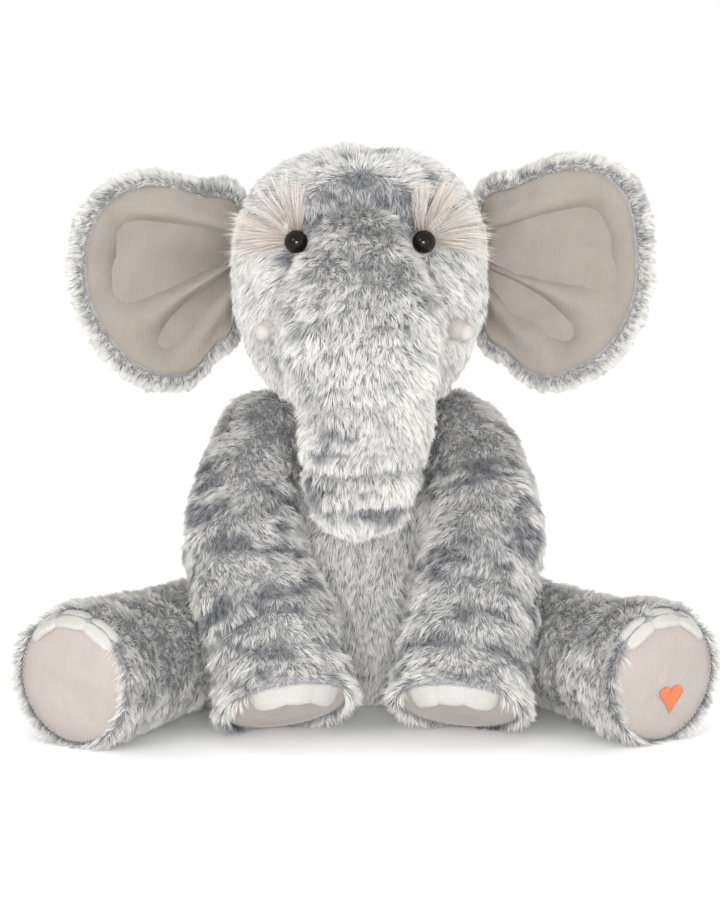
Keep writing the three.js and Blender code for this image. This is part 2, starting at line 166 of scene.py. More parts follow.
def tube(st, inset=SKIN, step=2.6, around=None, start=0.9, end=0.9, flat_end=False):
    """Rings along the stations. start and end are how round each cap is; flat_end closes with a disc."""
    st = np.array(st, float)
    st[:, 3:] -= inset
    length = np.linalg.norm(np.diff(st[:, :3], axis=0), axis=1).sum()
    sub = max(3, int(round(length / step / (len(st) - 1))))
    L = spline(st, sub)
    C, R = L[:, :3], L[:, 3:]
    T = unit(np.gradient(C, axis=0))
    caps_a, caps_b = [], []
    k = np.linspace(math.pi / 2 * 0.97, 0, 12)[:-1]
    for a in k:
        caps_a.append((C[0] - T[0] * math.sin(a) * R[0].mean() * start, T[0], R[0] * math.cos(a)))
    if flat_end:
        for d, f in ((0.6, 0.985), (1.0, 0.95), (1.1, 0.85), (1.1, 0.6), (1.1, 0.3), (1.1, 0.02)):
            caps_b.append((C[-1] + T[-1] * d, T[-1], R[-1] * f))
    else:
        for a in k[::-1]:
            caps_b.append((C[-1] + T[-1] * math.sin(a) * R[-1].mean() * end, T[-1], R[-1] * math.cos(a)))
    body = [(C[i], T[i], R[i]) for i in range(len(C))]
    rings = caps_a + body + caps_b
    Cs = np.array([r[0] for r in rings]); Ts = np.array([r[1] for r in rings]); Rs = np.array([r[2] for r in rings])
    S = unit(np.array([1.0, 0, 0]) - Ts * Ts[:, :1])
    B = np.cross(Ts, S)
    na = around or max(24, int(round(2 * math.pi * R.max() / step)))
    a = np.linspace(0, 2 * math.pi, na, endpoint=False)
    V = Cs[:, None] - np.cos(a)[None, :, None] * Rs[:, None, :1] * S[:, None] + np.sin(a)[None, :, None] * Rs[:, None, 1:] * B[:, None]
    s = np.concatenate([[0], np.cumsum(np.linalg.norm(np.diff(Cs, axis=0), axis=1))])
    g = Grid(V, centre=Cs[:, None], C=Cs, T=Ts, R=Rs, a=a, s=s, foot=len(caps_b) if flat_end else 0)
    return g


def tube_dist(P, st, grow=0.0):
    """How far out P is from a limb's centre line, 1 at its surface."""
    L = spline(st, 6)
    best = np.full(P.shape[:-1], 1e9)
    for q in L:
        r = 0.5 * (q[3] + q[4]) + grow
        best = np.minimum(best, np.linalg.norm(P - q[:3], axis=-1) / r)
    return best


def head_dist(P):
    d = np.abs((P - HEAD_C) / HEAD_R)
    return (d ** HEAD_P).sum(-1) ** (1 / HEAD_P)


def head_front(x, z):
    v = 1 - abs(x / HEAD_R[0]) ** HEAD_P - abs((z - HEAD_C[2]) / HEAD_R[2]) ** HEAD_P
    return HEAD_C[1] - HEAD_R[1] * max(v, 0) ** (1 / HEAD_P)


# ---------------------------------------------------------------- meshes
def make_mesh(name, V, loops, starts, mat, uv=None, smooth_faces=True):
    me = bpy.data.meshes.new(name)
    co = ((np.asarray(V, float) + SHIFT) / 1000.0).astype(np.float32)
    me.vertices.add(len(co))
    me.vertices.foreach_set("co", co.ravel())
    me.loops.add(len(loops))
    me.loops.foreach_set("vertex_index", np.asarray(loops, np.int32))
    me.polygons.add(len(starts))
    me.polygons.foreach_set("loop_start", np.asarray(starts, np.int32))
    me.update(calc_edges=True)
    me.polygons.foreach_set("use_smooth", np.full(len(starts), bool(smooth_faces)))
    if uv is not None:
        layer = me.uv_layers.new(name="OFBake")
        layer.uv.foreach_set("vector", np.asarray(uv, np.float32).ravel())
    me.materials.append(mat)
    ob = bpy.data.objects.new(name, me)
    bpy.context.scene.collection.objects.link(ob)
    return ob


def grid_mesh(name, g, mat, close=(True, True), rows=None, uv=True):
    """A mesh from a Grid, with its ends closed."""
    V = g.V if rows is None else g.V[rows[0]:rows[1]]
    nr, na = V.shape[:2]
    i, j = np.meshgrid(np.arange(nr - 1), np.arange(na), indexing="ij")
    j2 = (j + 1) % na
    q = np.stack([i * na + j, i * na + j2, (i + 1) * na + j2, (i + 1) * na + j], -1).reshape(-1, 4)
    if g.sign < 0:
        q = q[:, ::-1]
    q = q[:, ::-1] if g.sign > 0 else q[:, ::-1]
    loops = q.ravel()
    starts = np.arange(len(q)) * 4
    # uv runs once round and once along
    uu = np.stack([j, j + 1, j + 1, j], -1).reshape(-1, 4) / na
    vv = np.stack([i, i, i + 1, i + 1], -1).reshape(-1, 4) / (nr - 1)
    uu, vv = uu[:, ::-1], vv[:, ::-1]
    if g.sign < 0:
        uu, vv = uu[:, ::-1], vv[:, ::-1]
    if g.sign < 0:
        q2 = q
    uvs = np.stack([uu.ravel(), vv.ravel()], -1)
    verts = V.reshape(-1, 3)
    extra_l, extra_s, extra_uv = [], [], []
    at = len(loops)
    for k, want in ((0, close[0]), (nr - 1, close[1])):
        if want:
            ring = k * na + np.arange(na)
            extra_l.append(ring)
            extra_s.append(at)
            at += na
            extra_uv.append(np.tile([[0.5, 0.999 if k else 0.001]], (na, 1)))
    if extra_l:
        loops = np.concatenate([loops] + extra_l)
        starts = np.concatenate([starts, extra_s])
        uvs = np.concatenate([uvs] + extra_uv)
    ob = make_mesh(name, verts, loops, starts, mat, uvs if uv else None)
    fix_normals(ob)
    return ob


def fix_normals(ob):
    import bmesh
    bm = bmesh.new()
    bm.from_mesh(ob.data)
    bmesh.ops.recalc_face_normals(bm, faces=bm.faces)
    bm.to_mesh(ob.data)
    bm.free()


# ---------------------------------------------------------------- materials
def lin(r, g, b):
    return tuple(((c / 255 + 0.055) / 1.055) ** 2.4 if c > 10 else c / 255 / 12.92 for c in (r, g, b)) + (1.0,)


class Mat:
    def __init__(self, name, rough=0.8, **sockets):
        self.m = bpy.data.materials.new(name)
        self.m.use_nodes = True
        self.t = self.m.node_tree
        self.b = self.t.nodes["Principled BSDF"]
        self.b.inputs["Roughness"].default_value = rough
        for k, v in sockets.items():
            self.b.inputs[k.replace("_", " ")].default_value = v

    def n(self, kind, **props):
        node = self.t.nodes.new(kind)
        for k, v in props.items():
            setattr(node, k, v)
        return node

    def link(self, a, b):
        self.t.links.new(a, b)

    def coords(self, scale=(1, 1, 1)):
        c = self.n("ShaderNodeTexCoord")
        mp = self.n("ShaderNodeMapping")
        mp.inputs["Scale"].default_value = scale
        self.link(c.outputs["Object"], mp.inputs["Vector"])
        return mp.outputs["Vector"]

    def noise(self, vec, scale, detail=3.0, rough=0.55, distort=0.0):
        x = self.n("ShaderNodeTexNoise")
        x.inputs["Scale"].default_value = scale
        x.inputs["Detail"].default_value = detail
        x.inputs["Roughness"].default_value = rough
        x.inputs["Distortion"].default_value = distort
        self.link(vec, x.inputs["Vector"])
        return x.outputs["Fac"]

    def ramp(self, fac, stops):
        r = self.n("ShaderNodeValToRGB")
        e = r.color_ramp.elements
        e[0].position, e[0].color = stops[0]
        e[1].position, e[1].color = stops[-1]
        for p, c in stops[1:-1]:
            x = e.new(p)
            x.color = c
        self.link(fac, r.inputs["Fac"])
        return r.outputs["Color"]

    def mix(self, fac, a, b, mode="MIX"):
        x = self.n("ShaderNodeMix", data_type="RGBA", blend_type=mode)
        if isinstance(fac, (int, float)):
            x.inputs[0].default_value = fac
        else:
            self.link(fac, x.inputs[0])
        for s, v in ((6, a), (7, b)):
            if isinstance(v, tuple):
                x.inputs[s].default_value = v
            else:
                self.link(v, x.inputs[s])
        return x.outputs[2]

    def colour(self, c):
        self.link(c, self.b.inputs["Base Color"])
        return self

    def bump(self, height, strength=0.3, dist=0.0005):
        b = self.n("ShaderNodeBump")
        b.inputs["Strength"].default_value = strength
        b.inputs["Distance"].default_value = dist
        self.link(height, b.inputs["Height"])
        self.link(b.outputs["Normal"], self.b.inputs["Normal"])
        return self


def fur_material(name, light, dark):
    """Fibres: across the palette (u) from pale frosted to slate, which shows the slate patches and also the painted
    shade and painted light set in each fur's dark mask; along it (v) from root to tip.
    """
    m = Mat(name, 0.85, Specular_IOR_Level=0.15, Sheen_Weight=0.15, Sheen_Roughness=0.5)
    uv = m.n("ShaderNodeUVMap", uv_map="OFBake")
    sep = m.n("ShaderNodeSeparateXYZ")
    m.link(uv.outputs["UV"], sep.inputs["Vector"])
    a = m.ramp(sep.outputs["Y"], light)
    b = m.ramp(sep.outputs["Y"], dark)
    c = m.mix(sep.outputs["X"], a, b)
    m.colour(c)
    return m.m


FUR = fur_material(
    "fur_frosted",
    [(0.0, lin(122, 123, 128)), (0.2, lin(164, 164, 166)), (0.46, lin(216, 215, 211)), (1.0, lin(233, 232, 227))],
    [(0.0, lin(58, 59, 66)), (0.4, lin(84, 86, 94)), (0.74, lin(134, 135, 140)), (1.0, lin(202, 202, 199))],
)
m = Mat("fur_backing", 0.9, Sheen_Weight=0.1)
v = m.coords()
m.colour(m.ramp(m.noise(v, 260, 4), [(0.3, lin(112, 113, 118)), (0.7, lin(152, 152, 155))]))
m.bump(m.noise(v, 900, 2), 0.5, 0.0006)
BACKING = m.m

m = Mat("stuffing_fibre", 0.9, Sheen_Weight=0.2)
v = m.coords()
m.colour(m.ramp(m.noise(v, 120, 6, 0.7, 1.5), [(0.3, lin(214, 212, 206)), (0.7, lin(246, 245, 240))]))
m.bump(m.noise(v, 300, 5, 0.7, 2.0), 0.8, 0.002)
STUFF = m.m


def velour_material(name, base, dark, weave=1.0, sheen=0.35, crease=False):
    m = Mat(name, 0.75, Sheen_Weight=sheen, Sheen_Roughness=0.35, Specular_IOR_Level=0.2)
    m.b.inputs["Sheen Tint"].default_value = (1, 0.97, 0.94, 1)
    v = m.coords()
    nap = m.noise(v, 45, 4, 0.6, 0.4)
    fine = m.noise(v, 1400, 2, 0.6)
    c = m.mix(nap, dark, base)
    w = m.n("ShaderNodeTexWave", wave_type="BANDS", bands_direction="X", wave_profile="SIN")
    w.inputs["Scale"].default_value = 260.0
    w.inputs["Distortion"].default_value = 1.2
    w.inputs["Detail"].default_value = 2.0
    w.inputs["Detail Scale"].default_value = 1.5
    m.link(v, w.inputs["Vector"])
    speck = m.ramp(fine, [(0.3, (0.86, 0.86, 0.86, 1)), (0.7, (1.05, 1.05, 1.05, 1))])
    c = m.mix(1.0, c, speck, "MULTIPLY")
    lines = m.ramp(w.outputs["Fac"], [(0.0, (0.93, 0.93, 0.93, 1)), (1.0, (1.03, 1.03, 1.03, 1))])
    c = m.mix(weave, c, m.mix(1.0, c, lines, "MULTIPLY"))
    if crease:                                # painted shade: darker where the cloth is gathered into a fold and towards the root, with a faint painted highlight on the ridges
        uv = m.n("ShaderNodeUVMap", uv_map="fold")
        sep = m.n("ShaderNodeSeparateXYZ")
        m.link(uv.outputs["UV"], sep.inputs["Vector"])
        shade = m.ramp(sep.outputs["X"], [(0.0, (1.06, 1.06, 1.06, 1)), (0.4, (1.0, 1.0, 1.0, 1)), (0.7, (0.78, 0.775, 0.77, 1)), (1.0, (0.46, 0.455, 0.45, 1))])
        c = m.mix(1.0, c, shade, "MULTIPLY")
    m.colour(c)
    add = m.n("ShaderNodeMath", operation="ADD")
    m.link(w.outputs["Fac"], add.inputs[0])
    m.link(fine, add.inputs[1])
    m.bump(add.outputs[0], 0.35, 0.0004)
    return m.m


VELOUR = velour_material("ear_velour", lin(146, 139, 131), lin(126, 119, 112), crease=True)
SOLE = velour_material("sole_velour", lin(172, 164, 158), lin(158, 150, 145), 0.4)
NAIL = velour_material("nail_plush", lin(186, 184, 180), lin(174, 171, 166), 0.3)
TUSK = velour_material("tusk_plush", lin(188, 182, 178), lin(176, 170, 166), 0.3)

m = Mat("eye_glass", 0.06, Specular_IOR_Level=0.16, Coat_Weight=0.1, Coat_Roughness=0.03)
v = m.coords()
lw = m.n("ShaderNodeLayerWeight")
lw.inputs["Blend"].default_value = 0.3
m.colour(m.ramp(m.noise(v, 180, 3), [(0.35, lin(8, 6, 5)), (0.7, lin(20, 13, 10))]))
EYE = m.m

m = Mat("lash_fibre", 0.45, Specular_IOR_Level=0.4, Sheen_Weight=0.2)
uv = m.n("ShaderNodeUVMap", uv_map="OFBake")
sep = m.n("ShaderNodeSeparateXYZ")
m.link(uv.outputs["UV"], sep.inputs["Vector"])
# painted shade: each fibre darkens towards its root, where the lashes lie in shade beside the eye; the second, darker
# ramp is mixed in at random as the fibres' own tone
a = m.ramp(sep.outputs["Y"], [(0.0, lin(158, 148, 138)), (0.5, lin(198, 189, 179)), (1.0, lin(224, 218, 210))])
b = m.ramp(sep.outputs["Y"], [(0.0, lin(112, 105, 100)), (0.5, lin(158, 150, 143)), (1.0, lin(196, 190, 183))])
m.colour(m.mix(sep.outputs["X"], a, b))
LASH = m.m

m = Mat("satin_thread", 0.4, Specular_IOR_Level=0.5, Sheen_Weight=0.3)
v = m.coords()
m.colour(m.ramp(m.noise(v, 700, 3), [(0.3, lin(176, 86, 38)), (0.7, lin(202, 112, 58))]))
m.bump(m.noise(m.coords((1, 1, 0.15)), 3000, 2), 0.4, 0.0002)
THREAD = m.m

m = Mat("seam_thread", 0.7)
v = m.coords()
m.colour(m.ramp(m.noise(v, 900, 3), [(0.3, lin(150, 146, 146)), (0.7, lin(190, 185, 182))]))
SEAM = m.m

m = Mat("pouch_cloth", 0.85, Sheen_Weight=0.1)
v = m.coords()
m.colour(m.ramp(m.noise(v, 500, 3), [(0.3, lin(176, 168, 150)), (0.7, lin(206, 199, 184))]))
m.bump(m.noise(v, 1500, 2), 0.5, 0.0004)
POUCH = m.m

m = Mat("washer_plastic", 0.45, Specular_IOR_Level=0.4)
v = m.coords()
m.colour(m.ramp(m.noise(v, 300, 2), [(0.3, lin(222, 222, 216)), (0.7, lin(240, 240, 236))]))
m.bump(m.noise(v, 2000, 2), 0.15, 0.0002)
WASHER = m.m

for n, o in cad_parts.items():
    mat = POUCH if "pouch" in n else WASHER if "washer" in n else STUFF if "stuffing" in n else None
    if mat is not None:
        for s in o.material_slots:
            s.material = mat


# ---------------------------------------------------------------- fur
class Fur:
    """Fibres grown on one surface."""

    def __init__(self, seed):
        self.rng = np.random.RandomState(seed)
        self.parts = []

    def grow(self, g, count, comb, length=PILE, lean=0.95, dark=None, dens=None, width=0.34, clump=1.1, swirl=1.0, stray=0.12):
        """comb is (rings, around, 3); length, lean, dark and dens are numbers or (rings, around)."""
        count = int(count * DENSITY)
        rng = self.rng
        nr, na = g.nr, g.na
        full = lambda x: np.broadcast_to(np.asarray(x, float), (nr, na))
        length, lean = full(length), full(lean)
        dark = full(0 if dark is None else dark)
        dens = full(1 if dens is None else dens)
        # quads, chosen by area and density
        V = g.V
        Vj = np.roll(V, -1, 1)
        area = np.linalg.norm(np.cross(V[1:] - V[:-1], Vj[:-1] - V[:-1]), axis=-1)
        w = (area * 0.25 * (dens[1:] + dens[:-1] + np.roll(dens, -1, 1)[1:] + np.roll(dens, -1, 1)[:-1])).ravel()
        w = w / w.sum()
        pick = np.searchsorted(np.cumsum(w), rng.rand(count))
        pick = np.minimum(pick, len(w) - 1)
        i, j = pick // na, pick % na
        j2 = (j + 1) % na
        fu, fv = rng.rand(count), rng.rand(count)
        w00, w10, w01, w11 = (1 - fv) * (1 - fu), fv * (1 - fu), (1 - fv) * fu, fv * fu

        def at(A):
            if A.ndim == 3:
                return A[i, j] * w00[:, None] + A[i + 1, j] * w10[:, None] + A[i, j2] * w01[:, None] + A[i + 1, j2] * w11[:, None]
            return A[i, j] * w00 + A[i + 1, j] * w10 + A[i, j2] * w01 + A[i + 1, j2] * w11

        P, N = at(V), unit(at(g.N))
        C = at(comb)
        C = unit(C - N * (C * N).sum(-1, keepdims=True))
        ln, le, dk = at(length), at(lean), at(dark)
        keep = rng.rand(count) < np.clip(at(dens) * 4, 0, 1)
        # the nap turns slowly over the surface, and a little from tuft to tuft
        B = np.cross(N, C)
        swirl = at(full(swirl))
        turn = swirl * (0.75 * noise(P / 34 + 7) + 0.5 * noise(P / 13 + 31)) + rng.normal(size=count) * stray
        C = C * np.cos(turn)[:, None] + B * np.sin(turn)[:, None]
        le = np.clip(le + 0.22 * noise(P / 10 + 51) + rng.normal(size=count) * 0.10, 0.12, 1.4)
        # tufts: the tips draw together
        q = P / 4.4
        e = 0.15
        n0 = noise(q)
        G = np.stack([noise(q + [e, 0, 0]) - n0, noise(q + [0, e, 0]) - n0, noise(q + [0, 0, e]) - n0], -1) / e
        G = G - N * (G * N).sum(-1, keepdims=True)
        ln = ln * (0.8 + 0.35 * rng.rand(count)) * (1 + 0.22 * n0)
        l1 = (ln * 0.5)[:, None]
        d0 = N * np.cos(le * 0.72)[:, None] + C * np.sin(le * 0.72)[:, None]
        d1 = N * np.cos(le * 1.15)[:, None] + C * np.sin(le * 1.15)[:, None]
        P1 = P + d0 * l1 + G * (clump * 0.35)
        P2 = P1 + d1 * l1 + G * (clump * 0.9)
        # ribbons face outwards, each turned by its own amount
        W = unit(np.cross(d0, N))
        U = np.cross(W, d0)
        tw = (rng.rand(count) - 0.5) * 2.6
        W = W * np.cos(tw)[:, None] + U * np.sin(tw)[:, None]
        hw = width * 0.5 * (0.75 + 0.5 * rng.rand(count))[:, None]
        shade = np.clip(dk + rng.normal(size=count) * 0.12 + 0.10 * noise(P / 3.1 + 77), 0.01, 0.99)
        S = np.stack([P - W * hw * 0.8, P + W * hw * 0.8, P1 + W * hw, P1 - W * hw, P2], 1)
        S[..., 2] = np.maximum(S[..., 2], FLOOR)
        S[:, 2:, 2] = np.maximum(S[:, 2:, 2], FLOOR + 0.05)
        self.parts.append((S[keep], shade[keep], rng.rand(int(keep.sum()))))

    def meshes(self, name, mat, most=62000):
        S = np.concatenate([p[0] for p in self.parts])
        shade = np.concatenate([p[1] for p in self.parts])
        order = self.rng.permutation(len(S))
        S, shade = S[order], shade[order]
        out = []
        chunks = max(1, math.ceil(len(S) / most))
        for k in range(chunks):
            s, sh = S[k::chunks], shade[k::chunks]
            n = len(s)
            base = np.arange(n)[:, None] * 5
            loops = (base + np.array([[0, 1, 2, 3, 3, 2, 4]])).ravel()
            starts = (np.arange(n)[:, None] * 7 + np.array([[0, 4]])).ravel()
            v = np.tile([0.02, 0.02, 0.5, 0.5, 0.5, 0.5, 0.98], (n, 1))
            uv = np.stack([np.repeat(sh[:, None], 7, 1), v], -1).reshape(-1, 2)
            ob = make_mesh(f"{name}_{k + 1}" if chunks > 1 else name, s.reshape(-1, 3), loops, starts, mat, uv)
            out.append(ob)
        return out


def crease(q, low):
    """Narrow valleys along the zero lines of a noise, where the other noise lets them be."""
    c = noise(q)
    c2 = noise(q * 1.7 + 40)
    k = np.exp(-(c / 0.13) ** 2) * smooth(-0.35, 0.25, low)
    k2 = np.exp(-(c2 / 0.12) ** 2) * smooth(-0.1, 0.4, -low)
    return np.maximum(k, 0.7 * k2)


PIECES = {}


def settle(obs, rig, node=None):
    """Parents each piece on a ride rig to that body's empty, bakes the transform of pieces on a blend rig in place,
    and hides the CAD part or parts they stand for.
    """
    for o in obs:
        if rig[0] == "ride":
            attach(o, rig[1])
        else:
            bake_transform(o)
    if node:
        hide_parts(*([node] if isinstance(node, str) else node))


def core_of(name, g, rig, node, depth=7.0):
    """The stuffing inside a cover: the same form, smaller and lumpy."""
    c = Grid(g.V[::2, ::2].copy() if g.nr % 2 else g.V[:, ::2].copy(), centre=None)
    c.sign = 1.0
    c.N = g.N[::2, ::2].copy() if g.nr % 2 else g.N[:, ::2].copy()
    c.V = c.V - c.N * (depth + 1.2 * noise(c.V / 9)[..., None])
    c.V[..., 2] = np.maximum(c.V[..., 2], FLOOR + depth * 0.8)
    ob = grid_mesh(name, c, STUFF)
    settle([ob], rig, node)
    return ob


# ---------------------------------------------------------------- torso
def build_torso():
    L = spline(TORSO, 14)
    zs = np.concatenate([[FLOOR] * 6, np.arange(1.4, 232, 2.4)])
    grow = np.concatenate([[0.02, 0.3, 0.6, 0.85, 0.95, 0.985], np.ones(len(zs) - 6)])
    top = np.linspace(0, math.pi / 2 * 0.96, 9)[1:]
    C, R = [], []
    for z, k in zip(zs, grow):
        row = [np.interp(z, L[:, 2], L[:, c]) for c in range(5)]
        C.append([row[0], row[1], z])
        R.append([(row[3] - SKIN) * k, (row[4] - SKIN) * k])
    last = R[-1]
    for a in top:
        C.append([C[len(zs) - 1][0], C[len(zs) - 1][1], zs[-1] + 12 * math.sin(a)])
        R.append([last[0] * math.cos(a), last[1] * math.cos(a)])
    C, R = np.array(C), np.array(R)
    na = 190
    a = np.linspace(0, 2 * math.pi, na, endpoint=False)
    V = np.stack([C[:, None, 0] - np.cos(a) * R[:, None, 0], C[:, None, 1] + np.sin(a) * R[:, None, 1], np.broadcast_to(C[:, None, 2], (len(C), na))], -1)
    g = Grid(V, centre=C[:, None])
    P = g.V
    up = smooth(2, 16, P[..., 2])
    low = noise(P / 38 + 3)
    cr = crease(P / [30, 30, 15], low)
    front = smooth(0, -20, P[..., 1]) * smooth(60, 30, np.abs(P[..., 0]))
    cr = cr * (1 - 0.75 * front)
    # seam down the middle of the belly, and one down the back
    x0 = 2 + 4 * noise(np.stack([P[..., 2] / 60, P[..., 2] * 0, P[..., 2] * 0], -1))
    seam = np.exp(-((P[..., 0] - x0) / 2.6) ** 2) * smooth(12, 30, P[..., 2])
    g.push(up * (1.6 * noise(P / 24 + 9) + 1.0 * noise(P / 11) - 2.2 * cr - 2.6 * seam))
    P = g.V
    rig = ("ride", "torso")
    skin = grid_mesh("torso_cover", g, BACKING)
    settle([skin], rig, "torso_fur_shell")
    core_of("torso_filling", g, rig, "torso_stuffing")
    # fur
    comb = np.zeros_like(P)
    comb[..., 2] = -1
    comb = comb + 0.25 * g.N * [1, 1, 0]
    hide = np.zeros(P.shape[:2])
    for s in "lr":
        hide = np.maximum(hide, smooth(0.66, 0.56, tube_dist(P, ARM[s])))
        hide = np.maximum(hide, smooth(0.86, 0.80, tube_dist(P, LEG[s])))
    hide = np.maximum(hide, smooth(0.86, 0.80, head_dist(P)))
    hide = np.maximum(hide, smooth(3, 1, P[..., 2]) * smooth(2, 6, 66 - np.hypot(P[..., 0], (P[..., 1] - 38) * 1.18)))
    dens = 1 - hide
    n2 = noise(P / [24, 24, 11] + 17) + 0.5 * noise(P / [9, 9, 6] + 5)
    # the fibres' shade: slate patches are the fur's own colour; they are held back on the front of the belly as
    # painted light, since the belly sits in shade between the arms and under the trunk; darker in creases and along
    # the seam, partly the dark roots where the pile parts and partly painted shade
    dark = np.clip(smooth(0.08, 0.66, n2) * (0.8 - 0.78 * front) + 0.5 * cr * (1 - 0.5 * front) + 0.25 * seam + 0.05, 0, 1)
    f = Fur(101)
    f.grow(g, 95000, comb, length=PILE * (1 - 0.3 * cr - 0.35 * seam), lean=1.0 + 0.15 * front, dark=dark, dens=dens, swirl=1.0 - 0.0 * 1)
    settle(f.meshes("torso_fur", FUR), rig)
    # the flattened seat rests on the floor: the fur is left off it, so only backing shows there
    return g


# ---------------------------------------------------------------- head
def build_head():
    nr, na = 104, 200
    lat = np.linspace(math.pi / 2 * 0.985, -math.pi / 2 * 0.985, nr)
    lon = np.linspace(0, 2 * math.pi, na, endpoint=False)
    d = np.stack([np.cos(lat)[:, None] * np.cos(lon), np.cos(lat)[:, None] * np.sin(lon), np.broadcast_to(np.sin(lat)[:, None], (nr, na))], -1)
    R = HEAD_R - SKIN
    dd = d / R
    k = (np.abs(dd) ** HEAD_P).sum(-1) ** (-1 / HEAD_P)
    V = HEAD_C + d * k[..., None]
    g = Grid(V, centre=np.broadcast_to(HEAD_C, V.shape))
    P = g.V
    x, y, z = P[..., 0], P[..., 1], P[..., 2]
    front = smooth(-20, -50, y)
    # brow: a soft roll arching over the root of the trunk, with a tuck under it
    zb = 352 - 0.0105 * x ** 2
    jowl = smooth(252, 222, z) * smooth(30, -10, y) * smooth(8, 34, np.abs(x))
    V = V + np.stack([0.05 * x * jowl, 0 * x, -9.0 * jowl], -1)
    g.V = V
    g.N = g.normals()
    P = V
    brow = np.exp(-((z - zb) / 8.5) ** 2) * smooth(78, 52, np.abs(x)) * front
    tuck = np.exp(-((z - zb + 13) / 5.0) ** 2) * smooth(66, 40, np.abs(x)) * front
    eyes = np.zeros_like(x)
    for s in "lr":
        c = np.array([EYES[s], head_front(EYES[s], EYE_Z), EYE_Z])
        eyes = np.maximum(eyes, np.exp(-(((P - c) ** 2).sum(-1)) / 11.0 ** 2))
    cheek = sum(np.exp(-(((P - np.array([sx * 60, -52, 266])) ** 2).sum(-1)) / 26.0 ** 2) for sx in (-1, 1))
    low = noise(P / 34 + 3)
    cr = crease(P / [30, 30, 17] + 11, low) * (1 - front * 0.2)
    td = tube_dist(P, TRUNK_UP)
    groove = np.exp(-((td - 1.05) / 0.10) ** 2) * smooth(338, 322, z)
    g.push(4.0 * brow - 5.5 * tuck - 3.4 * groove - 4.2 * eyes + 2.6 * cheek + 1.3 * noise(P / 26 + 2) + 0.7 * noise(P / 11) - 1.5 * cr)
    P = g.V
    x, y, z = P[..., 0], P[..., 1], P[..., 2]
    rig = ("ride", "head")
    skin = grid_mesh("head_cover", g, BACKING)
    settle([skin], rig, "head_fur_shell")
    core_of("head_filling", g, rig, "head_stuffing")
    comb = np.zeros_like(P)
    comb[..., 2] = -0.8
    comb[..., 1] = 0.55 * smooth(330, 366, z) + 0.25
    comb[..., 0] = 0.012 * x * front
    comb = comb + np.stack([0 * x, 0 * x, -0.6 * smooth(10, -50, y)], -1)
    hide = smooth(0.80, 0.72, tube_dist(P, TRUNK_UP))
    hide = np.maximum(hide, smooth(0.84, 0.76, np.hypot(x / 47, (y - 14) / 47) + 10 * (z > 260)))
    for s in "lr":
        c = np.array([EYES[s], head_front(EYES[s], EYE_Z) - 2, EYE_Z])
        hide = np.maximum(hide, smooth(7.4, 5.8, np.linalg.norm(P - c, axis=-1)))
    n2 = noise(P / [24, 24, 12] + 27) + 0.5 * noise(P / [9, 9, 6] + 5)
    side = smooth(44, 60, np.abs(x)) * smooth(318, 300, z)
    valley = np.exp(-((z - zb + 12) / 9.0) ** 2) * smooth(52, 30, np.abs(x)) * front
    # painted shade: valley darkens the fibres in the hollow under the brow, and groove darkens them along the line
    # where the trunk meets the head; creases darken them partly as dark roots where the pile parts and partly as
    # painted shade; the slate patches are the fur's own colour
    dark = np.clip(smooth(0.12, 0.62, n2) * (0.78 - 0.48 * side) + 0.5 * cr * (1 - 0.6 * side) + 0.62 * valley + 0.62 * groove + 0.10, 0, 1)
    ln = PILE * (1 - 0.25 * cr - 0.3 * eyes - 0.25 * valley)
    f = Fur(102)
    f.grow(g, 105000, comb, length=ln, lean=1.0 + 0.1 * side, dark=dark, dens=1 - hide, swirl=0.9 - 0.5 * side)
    settle(f.meshes("head_fur", FUR), rig)
    return g


# ---------------------------------------------------------------- limbs and trunk
def limb_coords(g, along, round_):
    """Positions for a noise that is drawn out round a limb and short along it."""
    R = g.R.mean()
    q = np.stack([np.broadcast_to(np.cos(g.a) * R / round_, (g.nr, g.na)),
                  np.broadcast_to(np.sin(g.a) * R / round_, (g.nr, g.na)),
                  np.broadcast_to((g.s / along)[:, None], (g.nr, g.na))], -1)
    return q


